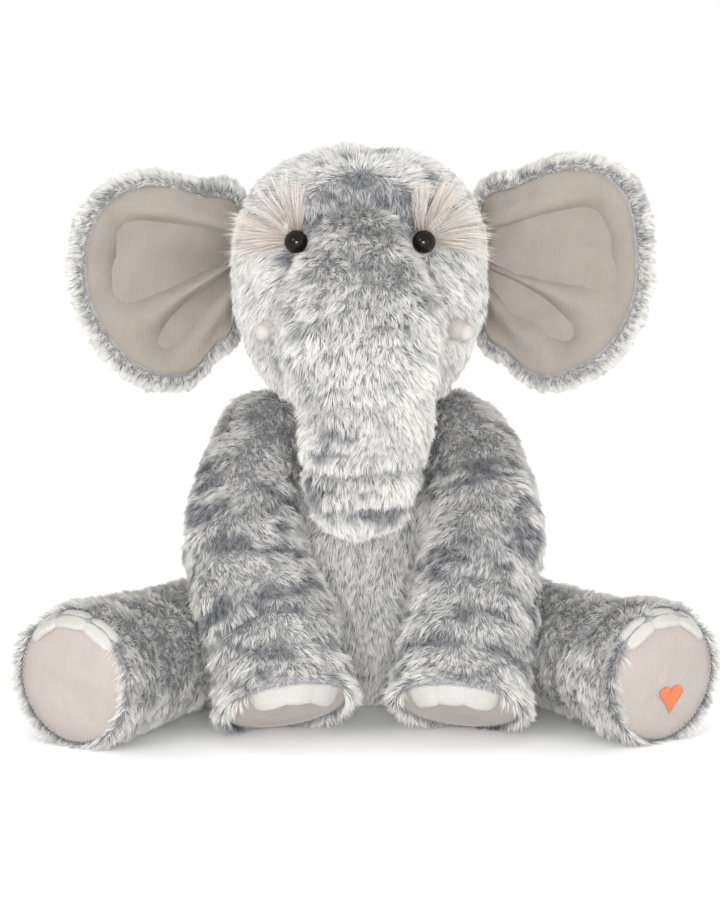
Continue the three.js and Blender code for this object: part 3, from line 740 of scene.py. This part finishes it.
def build_limb(kind, s):
    front = kind == "front"
    st = (ARM if front else LEG)[s]
    seed = {"frontl": 1, "frontr": 2, "hindl": 3, "hindr": 4}[kind + s]
    g = tube(st, flat_end=True, start=0.9)
    P = g.V
    q = limb_coords(g, 13, 26) + seed * 13.7
    low = noise(P / 36 + seed)
    cr = 0.8 * crease(q, low)
    # gathered folds across the limb, behind the foot and up to the body
    back = g.s[-g.foot - 1] - g.s[:, None] + 5.0 * noise(P / 34 + 21 + seed)
    for at_, wide, deep in (((27, 4.0, 0.75), (50, 3.6, 0.8), (73, 3.4, 0.6), (97, 3.4, 0.7), (122, 3.6, 0.6)) if front else ((36, 5.0, 1.7), (58, 4.2, 1.0), (82, 4.0, 1.0))):
        gate = smooth(-0.55, 0.1, noise(P / 40 + at_ * 0.37))
        cr = np.maximum(cr, deep * gate * np.exp(-((back - at_) / wide) ** 2))
    tip = np.ones(g.nr)
    tip[-g.foot:] = 0
    end = smooth(0, 10, (g.s[-g.foot - 1] - g.s))
    live = (tip * np.where(np.arange(g.nr) < g.nr - g.foot, 1, 0))[:, None] * (0.25 + 0.75 * end[:, None])
    g.push(live * (1.4 * noise(P / 22 + seed * 3) + 0.8 * noise(P / 10 + 2) + 0.8 - 3.0 * cr))
    cr = np.clip(cr, 0, 1)
    P = g.V
    side = SIDE[s]
    body = f"{kind}_leg_{side}"
    pivot = np.array(st[0][:3], float)
    ax = unit(np.array(st[1][:3], float) - pivot)
    rig = ("blend", "torso", body, tuple(pivot - ax * 15), tuple(pivot + ax * 25))
    skin = grid_mesh(f"{body}_cover", g, BACKING)
    settle([skin], rig, f"{kind}_leg_shell_{side}")
    core_of(f"{body}_filling", g, rig, f"{kind}_leg_stuffing_{side}", 7.5)
    comb = np.broadcast_to(g.T[:, None], P.shape) + np.array([0, 0, -0.45])
    hide = smooth(0.90, 0.80, torso_level(P))
    rows = np.zeros((g.nr, g.na))
    rows[-g.foot + 1:] = 1
    hide = np.maximum(hide, rows)
    hide = np.maximum(hide, smooth(1.6, 0.7, P[..., 2]) * 0.85)
    n2 = noise(limb_coords(g, 11, 21) + seed * 3.3) + 0.5 * noise(P / [8, 8, 5] + 5)
    # painted light: the slate patches and the crease darkening are held back near the shoulders, which sit in shade
    # under the head, and halved on the hind legs, which face away from the lamps; crease darkening is partly the dark
    # roots where the pile parts and partly painted shade
    high = (0.2 + 0.8 * smooth(15, 75, g.s))[:, None] if front else 0.5
    dark = np.clip(0.95 * high * smooth(0.0, 0.55, n2) + 0.7 * cr * high, 0, 1)
    # longer, denser, more upright pile where it meets the sole, and none where the nails sit
    edge = smooth(16, 0, (g.s[-g.foot - 1] - g.s))[:, None] * np.ones((1, g.na))
    ln = PILE * (1 - 0.28 * cr) * (1 + 0.15 * edge)
    for nail in nails_of(kind, st):
        c, e, d, T, size = nail
        r = P - c
        inside = (np.abs(r @ e) / size[0]) ** 3 + (np.abs(r @ T) / size[1]) ** 3
        hide = np.maximum(hide, smooth(1.0, 0.55, inside) * ((r @ d) > -8))
    f = Fur(110 + seed)
    f.grow(g, 62000, comb, length=ln, lean=0.98 - 0.42 * edge, dark=dark, dens=(1 - hide) * (1 + 0.5 * edge))
    settle(f.meshes(f"{body}_fur", FUR), rig)
    build_foot(kind, s, st, g)
    return g


def torso_level(P):
    """1 at the torso's surface, less inside."""
    L = spline(TORSO, 8)
    z = P[..., 2]
    cx, cy, rx, ry = (np.interp(z, L[:, 2], L[:, c]) for c in (0, 1, 3, 4))
    return np.hypot((P[..., 0] - cx) / rx, (P[..., 1] - cy) / ry) + 9 * (z > 228)


def nails_of(kind, st):
    """Three flat plush toenails, side by side along the top edge of the sole."""
    C = np.array(st[-1][:3], float)
    L = spline(st, 40)
    T = unit(L[-1, :3] - L[-2, :3])
    up = unit(np.array([0, 0, 1.0]) - T * T[2])
    across = np.cross(T, up)
    front = kind == "front"
    out = []
    for k in (-1, 0, 1):
        turn = math.radians((33 if front else 34) * k)
        d = up * math.cos(turn) + across * math.sin(turn)
        e = np.cross(T, d)
        if front:
            size = (13.6, 10.5, 3.6)
            c = C + T * 2.2 + d * (st[-1][3] - 10.5)
            tilt = 0.85
        else:
            size = (13.2, 7.6, 2.8)
            c = C - T * 1.0 + d * (st[-1][3] - 5.2)
            tilt = 0.6
        d2, T2 = unit(d + T * tilt), unit(T - d * tilt)
        out.append((c, e, d2, T2, size))
    return out


def build_foot(kind, s, st, g):
    front = kind == "front"
    side = SIDE[s]
    body = f"{kind}_leg_{side}"
    C = np.array(st[-1][:3], float)
    L = spline(st, 40)
    T = unit(L[-1, :3] - L[-2, :3])
    R = 38.0 if front else 39.0
    up = unit(np.array([0, 0, 1.0]) - T * T[2])
    across = np.cross(T, up)
    # the sole: a padded disc, drawn in at its stitched edge
    na, nr = 120, 30
    a = np.linspace(0, 2 * math.pi, na, endpoint=False)
    rr = np.concatenate([np.linspace(0.01, 0.9, 20), [0.93, 0.955, 0.975, 0.99, 1.0, 1.0, 0.985, 0.96, 0.9, 0.8]])
    hh = 4.4 * (1 - np.clip(rr, 0, 1) ** 3.2)
    hh[-6:] = [0.3, -0.3, -0.9, -1.3, -1.6, -1.6]
    ring = across[None, :] * np.cos(a)[:, None] + up[None, :] * np.sin(a)[:, None]
    Rr = R + 0.5
    V = C + T * 1.0 + ring[None] * (rr * Rr)[:, None, None] + T * hh[:, None, None]
    dimple = noise(V / 17 + 3) * 0.7 + noise(V / 7 + 9) * 0.25
    V = V + T * (dimple * (1 - rr[:, None] ** 4))[..., None]
    # puckers along the seam
    V = V - T * (0.35 * np.cos(a * 44)[None, :] * np.exp(-((rr[:, None] - 0.97) / 0.05) ** 2))[..., None]
    V[..., 2] = np.maximum(V[..., 2], FLOOR)
    sole = Grid(V, centre=np.broadcast_to(C - T * 30, V.shape))
    ob = grid_mesh(f"{body}_sole", sole, SOLE)
    settle([ob], ("ride", body), f"{kind}_sole_{side}")
    # stitches round the sole
    parts = []
    for k in range(84):
        t = 2 * math.pi * k / 84
        d = across * math.cos(t) + up * math.sin(t)
        e = -across * math.sin(t) + up * math.cos(t)
        p = C + T * 1.9 + d * (Rr * 0.985)
        if p[2] < 1.5:
            continue
        parts.append(stitch(p, unit(e * 0.85 + d * 0.25 + T * 0.1), 2.0, 0.32, d))
    ob = join_tubes(f"{body}_stitches", parts, SEAM)
    settle([ob], ("ride", body), None)
    # three toenails along the top edge
    for k, (c, e, d, Tn, size) in zip((-1, 0, 1), nails_of(kind, st)):
        nl, nn = 26, 40
        la = np.linspace(math.pi / 2 * 0.97, -math.pi / 2 * 0.97, nl)
        lo = np.linspace(0, 2 * math.pi, nn, endpoint=False)
        q = np.stack([np.cos(la)[:, None] * np.cos(lo), np.cos(la)[:, None] * np.sin(lo), np.broadcast_to(np.sin(la)[:, None], (nl, nn))], -1)
        q = q * (np.abs(q) ** 3.2).sum(-1, keepdims=True) ** (-1 / 3.2)
        V = c + e * (q[..., 0] * size[0])[..., None] + Tn * (q[..., 1] * size[1])[..., None] + d * (q[..., 2] * size[2])[..., None]
        # it wraps round the limb
        V = V - d * ((q[..., 0] * size[0]) ** 2 / (2 * st[-1][3]))[..., None]
        V = V + unit(V - c) * (0.35 * noise(V / 5))[..., None]
        V[..., 2] = np.maximum(V[..., 2], FLOOR)
        ng = Grid(V, centre=np.broadcast_to(c, V.shape))
        ob = grid_mesh(f"{kind}_nail_{side}_{k + 2}", ng, NAIL)
        settle([ob], ("ride", body), f"{kind}_toenail_{side}_{k + 2}")
    if kind == "hind" and s == "r":
        heart(C + T * 1.0, T, across, up)


def stitch(p, d, length, r, out, segs=5):
    """A short raised thread, as rings."""
    rings = []
    w = np.cross(d, out)
    for t in np.linspace(-1, 1, segs):
        c = p + d * (t * length / 2) + out * 0.35 * (1 - t * t)
        rad = r * (1 - 0.6 * abs(t) ** 3)
        rings.append([c + w * rad * math.cos(a) + out * rad * math.sin(a) for a in np.linspace(0, 2 * math.pi, 6, endpoint=False)])
    return np.array(rings)


def join_tubes(name, parts, mat):
    V, loops, starts = [], [], []
    base = 0
    for rings in parts:
        nr, na = rings.shape[:2]
        V.append(rings.reshape(-1, 3))
        for i in range(nr - 1):
            for j in range(na):
                j2 = (j + 1) % na
                starts.append(len(loops))
                loops += [base + i * na + j, base + i * na + j2, base + (i + 1) * na + j2, base + (i + 1) * na + j]
        for ring in (range(na), range((nr - 1) * na, nr * na)):
            starts.append(len(loops))
            loops += [base + k for k in ring]
        base += nr * na
    ob = make_mesh(name, np.concatenate(V), loops, starts, mat)
    fix_normals(ob)
    return ob


def heart(C, T, across, up):
    """A small satin-stitched heart: threads laid side by side, each a raised half round."""
    def edge(x):
        t = abs(x) / 9.6
        if t >= 1:
            return None
        top = 4.6 + 4.4 * math.sqrt(max(0, 1 - ((t - 0.48) / 0.52) ** 2)) if t > 0.02 else 4.8
        bottom = -9.4 + 13.0 * t ** 0.86
        return bottom, max(top, bottom + 0.4)
    parts = []
    xs = np.arange(-9.2, 9.21, 0.52)
    for k, x in enumerate(xs):
        e = edge(x)
        if e is None:
            continue
        lo, hi = e
        n = 9
        rings = []
        for t in np.linspace(0, 1, n):
            yy = lo + (hi - lo) * t
            r = math.hypot(-4 + x, -14 + yy) / 39.5
            h = 4.4 * (1 - min(r, 1) ** 3.2) + 0.25 + 0.75 * math.sin(math.pi * min(max(t, 0.04), 0.96)) ** 0.5
            c = C + across * (-4 + x + 0.25 * t) + up * (-14 + yy) + T * h
            rad = 0.36
            rings.append([c + across * rad * math.cos(a) + T * rad * math.sin(a) for a in np.linspace(0, 2 * math.pi, 6, endpoint=False)])
        parts.append(np.array(rings))
    ob = join_tubes("sole_heart", parts, THREAD)
    settle([ob], ("ride", "hind_leg_right"), "sole_heart_patch")


def build_trunk():
    # upper part: from between the eyes to the tuck
    g = tube(TRUNK_UP, start=0.8, end=0.45, step=2.4)
    P = g.V
    q = limb_coords(g, 14, 26) + 61
    low = noise(P / 36 + 8)
    cr = crease(q, low) * smooth(0, 40, g.s)[:, None]
    g.push(1.4 * noise(P / 20 + 4) + 0.9 * noise(P / 10 + 2) - 2.0 * cr)
    P = g.V
    rig = ("blend", "head", "trunk", (0, -70, 305), (0, -100, 262))
    skin = grid_mesh("trunk_upper_cover", g, BACKING)
    settle([skin], rig, "trunk_upper_shell")
    core_of("trunk_upper_filling", g, rig, "trunk_upper_stuffing")
    comb = np.broadcast_to(g.T[:, None], P.shape) + 0.35 * g.N * [1.2, 0, 0]
    hide = smooth(0.90, 0.84, head_dist(P))
    n2 = noise(limb_coords(g, 12, 22) + 3.3) + 0.5 * noise(P / [8, 8, 5] + 5)
    # darker in the creases: partly the dark roots where the pile parts, partly painted shade
    dark = np.clip(0.55 * smooth(0.1, 0.62, n2) + 0.45 * cr, 0, 1)
    f = Fur(120)
    f.grow(g, 46000, comb, length=PILE * (1 - 0.25 * cr), lean=0.92, dark=dark, dens=1 - hide)
    settle(f.meshes("trunk_upper_fur", FUR), rig)
    # lower part, with two more tucks
    g = tube(TRUNK_TIP, start=0.5, end=0.5, step=2.4)
    P = g.V
    z = P[..., 2]
    w = 4 * noise(P / 30 + 90)
    tucks = np.exp(-((z - 178 + w) / 3.4) ** 2) + 0.8 * np.exp(-((z - 155 - w) / 3.0) ** 2)
    cr = crease(limb_coords(g, 13, 24) + 71, noise(P / 30 + 4)) * 0.7
    cr = np.maximum(cr, tucks)
    g.push(1.3 * noise(P / 20 + 14) + 0.8 * noise(P / 10 + 2) - 2.6 * cr)
    P = g.V
    rig = ("blend", "trunk", "trunk_tip", (4, -107, 222), (2, -110, 190))
    skin = grid_mesh("trunk_tip_cover", g, BACKING)
    settle([skin], rig, "trunk_tip_shell")
    core_of("trunk_tip_filling", g, rig, "trunk_tip_stuffing")
    comb = np.broadcast_to(g.T[:, None], P.shape) + np.array([0, 0, -0.2])
    n2 = noise(limb_coords(g, 11, 20) + 8.3) + 0.5 * noise(P / [8, 8, 5] + 5)
    # darker in the creases and the two tucks: partly the dark roots where the pile parts, partly painted shade
    dark = np.clip(0.85 * smooth(0.05, 0.62, n2) + 0.7 * cr + 0.04, 0, 1)
    hide = smooth(214, 222, P[..., 2])
    f = Fur(121)
    f.grow(g, 40000, comb, length=PILE * (1 - 0.25 * cr), lean=0.92, dark=dark, dens=1 - hide)
    settle(f.meshes("trunk_tip_fur", FUR), rig)


# ---------------------------------------------------------------- ears
def ear_y(x, z):
    u = (x - 79) / 110
    w = (z - 285) / 70
    return 12 - 30 * u + 10 * u ** 2 - 9 * w ** 2 * (1 - 0.4 * u)


FOLD = {  # where the folds run, seen from a point inside the head: angles in degrees, up positive
    "l": dict(c=(61, 308), top=11, dish=-9, ridge=-33, rw=8, crease=-43, lobe=-56),
    "r": dict(c=(57, 304), top=18, dish=-2, ridge=-23, rw=9, crease=-34.5, lobe=-51),
}


def ear_fold(s, x, z, t):
    """How far the lining comes forward, mm."""
    k = FOLD[s]
    phi = np.degrees(np.arctan2(z - k["c"][1], x - k["c"][0]))
    f = 8.0 * np.tanh((phi - k["top"]) / 3.0) * np.exp(-((phi - k["top"]) / 26) ** 2)
    f = f + 4.0 * np.exp(-((phi - k["top"] - 16) / 13) ** 2)
    f = f - 9.0 * np.exp(-((phi - k["dish"]) / 15) ** 2)
    f = f + 11.0 * np.exp(-((phi - k["ridge"]) / k["rw"]) ** 2)
    f = f - 12.0 * np.exp(-((phi - k["crease"] - 3 * np.sin(5 * t)) / (3.4 + 3 * t)) ** 2) - 5.0 * np.exp(-((phi - k["crease"] + 26) / (3.0 + 3 * t)) ** 2) - 4.5 * np.exp(-((phi - k["ridge"] - 13) / (3.0 + 3 * t)) ** 2)
    f = f + 8.0 * np.exp(-((phi - k["lobe"]) / 8) ** 2)
    amp = (0.35 + 0.65 * smooth(0.0, 0.3, t)) * np.clip(1.06 - t, 0, 1) ** 0.8 * (1 - smooth(0.62, 0.96, t)) * 1.3
    return f * amp - 5.0 * (1 - smooth(0.2, 0.95, t))


def build_ear(s):
    sx = -1.0 if s == "l" else 1.0
    side = SIDE[s]
    K = np.array([86.0, 296.0])
    pts = np.array(EAR_OUT[s], float)
    closed = np.vstack([pts, pts[:2]])
    n = len(pts)
    dense = []
    for i in range(n):
        p0, p1, p2, p3 = pts[i - 1], pts[i], pts[(i + 1) % n], pts[(i + 2) % n]
        for t in np.linspace(0, 1, 12, endpoint=False):
            dense.append(0.5 * ((2 * p1) + (-p0 + p2) * t + (2 * p0 - 5 * p1 + 4 * p2 - p3) * t * t + (-p0 + 3 * p1 - 3 * p2 + p3) * t ** 3))
    dense = np.array(dense) - K
    ang = np.arctan2(dense[:, 1], dense[:, 0])
    rad = np.hypot(dense[:, 0], dense[:, 1])
    o = np.argsort(ang)
    ang, rad = ang[o], rad[o]
    na = 230
    th = np.linspace(-math.pi, math.pi, na, endpoint=False)
    rho = np.interp(th, ang, rad, period=2 * math.pi)
    phi = np.degrees(th)

    def place(r, dy):
        x = K[0] + r * np.cos(th)
        z = K[1] + r * np.sin(th)
        y = ear_y(x, z) + dy
        return np.stack([sx * x, y, z], -1)

    # back and rim: front band, round the edge, and in to the middle of the back
    rows = []
    thick = 4.6
    wob = 1.2 * noise(np.stack([np.cos(th) * 4, np.sin(th) * 4, th * 0 + (3 if s == "l" else 8)], -1))
    for ins in (17, 13, 10, 7.5):
        r = np.maximum(rho - ins, 0)
        rows.append(place(r, -2.2 + 0 * th) if ins > 14 else place(r, -3.6 + 0 * th))
    for a in np.linspace(-80, 80, 9):
        r = np.maximum(rho + wob * 0.5 - thick + thick * math.cos(math.radians(a)), 0)
        rows.append(place(r, 0.4 + (thick + 0.4) * math.sin(math.radians(a)) + 0 * th))
    for k in np.linspace(0.05, 1, 34):
        r = np.maximum((rho - thick) * (1 - k), 0)
        t = r / np.maximum(rho, 1)
        fold = ear_fold(s, K[0] + r * np.cos(th), K[1] + r * np.sin(th), t) * 0.6
        pil = 2.2 * np.sin(math.pi * min(k * 1.2, 1))
        rows.append(place(r, 5.2 + pil - fold))
    V = np.array(rows)
    g = Grid(V, centre=V.mean(axis=(0, 1), keepdims=True) + 0 * V)
    g.sign = 1.0
    g.N = g.normals()
    # outwards means away from the ear's middle surface
    mid = np.stack([V[..., 0], ear_y(np.abs(V[..., 0]), V[..., 2]), V[..., 2]], -1)
    if np.sum(g.N[20:, :, 1]) < 0:
        g.sign = -1.0
        g.N = -g.N
    rig = ("blend", "head", f"ear_{side}", (sx * 74, 4, 290), (sx * 95, 4, 290))
    skin = grid_mesh(f"ear_{side}_cover", g, BACKING, close=(False, True))
    settle([skin], rig, f"ear_back_{side}")
    P = g.V
    comb = np.stack([P[..., 0] - sx * K[0], 0 * P[..., 0], P[..., 2] - K[1]], -1)
    comb = unit(comb) + np.array([0, 0, -0.25])
    row = np.arange(len(rows))[:, None] * np.ones((1, na))
    inside = smooth(0.93, 0.86, head_dist(P))
    dens = (1 - inside) * np.where(row < 4, 0.0, 1.0) * np.where(row < 14, 2.0, 1.0)
    dens = dens * smooth(3, 8, np.hypot(np.abs(P[..., 0]) - K[0], P[..., 2] - K[1]))
    n2 = noise(P / [11, 20, 16] + 47) + 0.5 * noise(P / [8, 8, 5] + 5)
    band = np.where(row < 9, 1.0, 0.0)
    dark = np.clip(0.5 * smooth(0.05, 0.66, n2), 0, 1)
    lean = np.where(row < 7, 0.7, 0.9)
    ln = np.where(row < 9, PILE * 0.78, PILE * 0.95)
    f = Fur(130 if s == "l" else 131)
    f.grow(g, 52000, comb, length=ln, lean=lean, dark=dark, dens=dens, swirl=0.7)
    settle(f.meshes(f"ear_{side}_fur", FUR), rig)
    # lining: velour, gathered at the root into radial folds
    nl = 66
    ts = np.concatenate([np.linspace(0.0, 0.97, nl - 6), [0.982, 0.991, 0.997, 1.0, 0.998, 0.985]])
    edge = np.maximum(rho - 5.2, 0.5)
    rows = []
    for i, t in enumerate(ts):
        r = edge * max(t, 0.004)
        dy = -4.9 - ear_fold(s, K[0] + r * np.cos(th), K[1] + r * np.sin(th), t)
        if t > 0.9 and i < nl - 2:
            dy = dy + 2.2 * smooth(0.9, 1.0, t) ** 2
        if i >= nl - 2:
            dy = -2.2 + 0 * phi + (0.6 if i == nl - 1 else 0)
        rows.append(place(r, dy))
    V = np.array(rows)
    V[..., 1] += (0.5 * noise(V / 14 + 5) + 0.18 * noise(V / 5 + 5)) * smooth(1.0, 0.9, ts)[:, None]
    lg = Grid(V, centre=V + [0, 30, 0])
    ob = grid_mesh(f"ear_{side}_lining", lg, VELOUR)
    vi = np.empty(len(ob.data.loops), int)
    ob.data.loops.foreach_get("vertex_index", vi)
    co = np.empty(len(ob.data.vertices) * 3)
    ob.data.vertices.foreach_get("co", co)
    co = co.reshape(-1, 3) * 1000 - SHIFT
    ax, az = np.abs(co[:, 0]), co[:, 2]
    tt = np.hypot(ax - K[0], az - K[1]) / np.interp(np.arctan2(az - K[1], ax - K[0]), th, rho, period=2 * math.pi)
    fo = ear_fold(s, ax, az, np.clip(tt, 0, 1))
    # painted shade: deep is high in the folds of the lining and towards its root under the head and low on the
    # ridges, plus a little random noise; the fold UV carries it to the velour colour
    deep = np.clip(0.34 - 0.095 * (fo + 2.2) + 0.45 * (1 - smooth(84, 118, ax)) * smooth(235, 262, az) + 0.10 * noise(co / 22), 0, 1)
    layer = ob.data.uv_layers.new(name="fold")
    layer.data.foreach_set("uv", np.stack([deep[vi], 0 * deep[vi] + 0.5], -1).astype(np.float32).ravel())
    settle([ob], rig, f"ear_lining_{side}")


# ---------------------------------------------------------------- eyes, lashes, tusks
def build_face(s):
    sx = -1.0 if s == "l" else 1.0
    side = SIDE[s]
    ex = EYES[s]
    base = np.array([ex, head_front(ex, EYE_Z), EYE_Z])
    nrm = unit(np.array([0.34 * sx, -0.88, 0.2]))
    c = base + nrm * 2.2
    a1 = unit(np.cross(nrm, [0, 0, 1.0]))
    a2 = np.cross(a1, nrm)
    nl, nn = 26, 48
    la = np.linspace(math.pi / 2 * 0.98, -0.5, nl)
    lo = np.linspace(0, 2 * math.pi, nn, endpoint=False)
    V = c + 7.5 * (nrm * np.sin(la)[:, None, None] * np.ones((1, nn, 1)) * 0.93
                   + a1 * (np.cos(la)[:, None] * np.cos(lo))[..., None] + a2 * (np.cos(la)[:, None] * np.sin(lo))[..., None])
    g = Grid(V, centre=np.broadcast_to(c, V.shape))
    ob = grid_mesh(f"eye_{side}_dome", g, EYE)
    settle([ob], ("ride", "head"), f"eye_{side}")
    # lashes: long silky fibres fanning up and outwards over the eye
    rng = np.random.RandomState(5 if s == "l" else 6)
    n = 1200
    locks = 46                                # fibres gather into tapering locks
    lk = rng.randint(locks, size=n)
    la_ = rng.rand(locks)
    # from just inside upright, over the eye, to a little under its outer corner
    th = np.radians(108 - 122 * la_)[lk] + rng.normal(size=n) * 0.10
    tl = np.radians(108 - 122 * la_)[lk] + (rng.normal(size=locks) * 0.10)[lk]
    rr = 6.5 + 6.0 * rng.rand(n) ** 1.5
    x = ex + sx * np.cos(th) * rr * 1.05
    z = EYE_Z + np.sin(th) * rr + 0.5
    y = np.array([head_front(xx, zz) for xx, zz in zip(x, z)]) + 0.5
    root = np.stack([x, y, z], -1)
    nr_ = unit((root - HEAD_C) / HEAD_R ** 2)
    ll = (22 + 21 * rng.rand(locks))[lk] * (1 - 0.18 * smooth(60, 108, np.degrees(tl)))
    length = ll * (0.72 + 0.33 * rng.rand(n))
    lift = (0.50 + 0.28 * rng.rand(locks))[lk]
    out = np.stack([sx * np.cos(tl), 0 * tl, np.sin(tl)], -1)
    out = unit(out - nr_ * (out * nr_).sum(-1, keepdims=True))
    d = unit(out + nr_ * lift[:, None] + rng.normal(size=(n, 3)) * 0.05)
    # the locks close towards their tips
    centre = root[:, :] * 0
    for q in range(locks):
        centre[lk == q] = root[lk == q].mean(0) if (lk == q).any() else 0
    P = [root]
    dirn = d.copy()
    segs = 5
    for k in range(segs):
        step = dirn * (length / segs)[:, None]
        P.append(P[-1] + step)
        dirn = unit(dirn + np.array([0.03 * sx, 0.03, -0.05]) - nr_ * 0.05 + (centre - root) * 0.018 + rng.normal(size=(n, 3)) * 0.02)
    P = np.stack(P, 1)                        # n, segs+1, 3
    W = unit(np.cross(d, nr_ + rng.normal(size=(n, 3)) * 0.6))
    hw = 0.15 * np.array([1, 1, 0.9, 0.75, 0.5])
    L = P[:, :segs] - W[:, None] * hw[None, :, None]
    Rr = P[:, :segs] + W[:, None] * hw[None, :, None]
    verts = np.concatenate([np.stack([L, Rr], 2).reshape(n, -1, 3), P[:, segs:]], 1)   # n, 2*segs+1
    per = 2 * segs + 1
    loops, starts, uv = [], [], []
    sh = rng.rand(n)
    for q in range(n):
        b = q * per
        for k in range(segs - 1):
            starts.append(len(loops))
            loops += [b + 2 * k, b + 2 * k + 1, b + 2 * k + 3, b + 2 * k + 2]
            uv += [[sh[q], k / segs], [sh[q], k / segs], [sh[q], (k + 1) / segs], [sh[q], (k + 1) / segs]]
        starts.append(len(loops))
        loops += [b + 2 * segs - 2, b + 2 * segs - 1, b + 2 * segs]
        uv += [[sh[q], (segs - 1) / segs]] * 2 + [[sh[q], 1.0]]
    ob = make_mesh(f"lashes_{side}", verts.reshape(-1, 3), loops, starts, LASH, uv)
    settle([ob], ("ride", "head"), f"eyelash_tuft_{side}")
    # tusk: a short blunt plush cone
    bx, bz = (-54, 259) if s == "l" else (58, 259)
    by = head_front(bx, bz)
    dr = unit(np.array([0.7 * sx, -0.65, -0.14]))
    b = np.array([bx, by, bz], float) - dr * 6
    k = 0.0 if s == "l" else 3.0
    st = [list(b) + [7.6, 7.6], list(b + dr * (7 + k)) + [7.4, 7.4], list(b + dr * (12 + k)) + [6.8, 6.8], list(b + dr * (16 + k)) + [5.8, 5.8]]
    g = tube(st, inset=0.0, step=1.2, start=0.3, end=0.85)
    g.push(0.3 * noise(g.V / 6))
    ob = grid_mesh(f"tusk_{side}_plush", g, TUSK)
    settle([ob], ("ride", "head"), f"tusk_{side}")


def build_tail():
    st = [[0, 96, 65, 6.5, 6.5], [0, 104, 62, 6.5, 6.5], [0, 114, 58, 6.5, 6.5], [0, 121, 46, 6, 6], [0, 124, 34, 5.5, 5.5]]
    g = tube(st, inset=2.0, step=1.8, start=0.6, end=0.5)
    rig = ("blend", "torso", "tail", (0, 98, 64), (0, 110, 60))
    ob = grid_mesh("tail_cover", g, BACKING)
    settle([ob], rig, "tail_cord")
    f = Fur(140)
    comb = np.broadcast_to(g.T[:, None], g.V.shape)
    f.grow(g, 5200, comb, length=5.5, lean=1.15, dark=np.clip(0.3 + noise(g.V / 9), 0, 1), swirl=0.5, clump=0.8)
    settle(f.meshes("tail_fur", FUR), rig)
    st = [[0, 124, 36, 5, 5], [0, 125, 27, 7, 7], [0, 126, 17, 6.5, 6.5], [0, 127, 11, 3, 3]]
    g = tube(st, inset=1.0, step=1.8, start=0.5, end=0.6)
    ob = grid_mesh("tail_tuft_core", g, BACKING)
    settle([ob], ("ride", "tail"), "tail_tuft")
    f = Fur(141)
    comb = np.broadcast_to(g.T[:, None], g.V.shape)
    f.grow(g, 4200, comb, length=11, lean=1.1, dark=np.clip(0.55 + noise(g.V / 9), 0, 1), swirl=0.5, clump=1.2)
    settle(f.meshes("tail_tuft_fur", FUR), ("ride", "tail"))


def build_neck():
    nl, nn = 30, 48
    la = np.linspace(math.pi / 2 * 0.97, -math.pi / 2 * 0.97, nl)
    lo = np.linspace(0, 2 * math.pi, nn, endpoint=False)
    q = np.stack([np.cos(la)[:, None] * np.cos(lo), np.cos(la)[:, None] * np.sin(lo), np.broadcast_to(np.sin(la)[:, None], (nl, nn))], -1)
    V = np.array([0, 14, 218.0]) + q * [24, 24, 26]
    V = V + q * (1.0 * noise(V / 9))[..., None]
    ob = grid_mesh("neck_filling", Grid(V, centre=np.broadcast_to(np.array([0, 14, 218.0]), V.shape)), STUFF)
    settle([ob], ("ride", "neck"), "neck_stuffing")


import time
_t = time.time()


def lap(what):
    global _t
    print(f"[{time.time() - _t:6.1f}s] {what}")
    _t = time.time()


build_torso(); lap("torso")
build_head(); lap("head")
build_neck()
build_trunk(); lap("trunk")
for s in "lr":
    build_limb("front", s)
    build_limb("hind", s)
    lap("limbs " + s)
    build_ear(s)
    build_face(s)
    lap("ear and face " + s)
build_tail(); lap("tail")

# ---------------------------------------------------------------- floor, light, camera
m = Mat("floor_paper", 0.9, Specular_IOR_Level=0.1)
v = m.coords()
m.colour(m.ramp(m.noise(v, 30, 3), [(0.3, (0.955, 0.955, 0.955, 1)), (0.7, (0.97, 0.97, 0.97, 1))]))
me = bpy.data.meshes.new("floor")
me.from_pydata([(-30, -30, 0), (30, -30, 0), (30, 30, 0), (-30, 30, 0)], [], [(0, 1, 2, 3)])
me.materials.append(m.m)
floor = bpy.data.objects.new("floor", me)
bpy.context.scene.collection.objects.link(floor)

world = bpy.data.worlds.new("studio") if not bpy.context.scene.world else bpy.context.scene.world
bpy.context.scene.world = world
world.use_nodes = True
bg = world.node_tree.nodes["Background"]
bg.inputs["Color"].default_value = (1.0, 1.0, 1.0, 1)
bg.inputs["Strength"].default_value = 1.04


def area(name, loc, aim, size, power, colour=(1, 1, 1)):
    l = bpy.data.lights.new(name, "AREA")
    l.shape = "RECTANGLE"
    l.size, l.size_y = size
    l.energy = power
    l.color = colour
    o = bpy.data.objects.new(name, l)
    o.location = loc
    from mathutils import Vector
    o.rotation_euler = (Vector(aim) - Vector(loc)).to_track_quat("-Z", "Y").to_euler()
    bpy.context.scene.collection.objects.link(o)
    return o


area("key", (-1.1, -1.7, 1.2), (0, 0, 0.2), (0.7, 0.7), 8)
area("fill", (1.3, -1.6, 0.6), (0, 0, 0.15), (0.9, 0.9), 3)
area("front", (0.0, -2.5, 0.5), (0, 0, 0.12), (0.9, 0.7), 52)
area("rear", (0.7, 2.3, 0.9), (0, 0, 0.15), (0.9, 0.9), 14)

cam = bpy.data.cameras.new("camera")
cam.lens = 133.0
cam.sensor_width = 36.0
cam.sensor_fit = "AUTO"
cam.clip_end = 100
co = bpy.data.objects.new("camera", cam)
from mathutils import Vector
aim = Vector((SHIFT[0] / 1000, SHIFT[1] / 1000, 0.1696))
el = math.radians(9)
co.location = aim + Vector((0, -math.cos(el), math.sin(el))) * 2.2
co.rotation_euler = (aim - co.location).to_track_quat("-Z", "Y").to_euler()
bpy.context.scene.collection.objects.link(co)
bpy.context.scene.camera = co
bpy.context.scene.view_settings.view_transform = "Standard"
bpy.context.scene.view_settings.look = "None"

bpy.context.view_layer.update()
lap("stage")
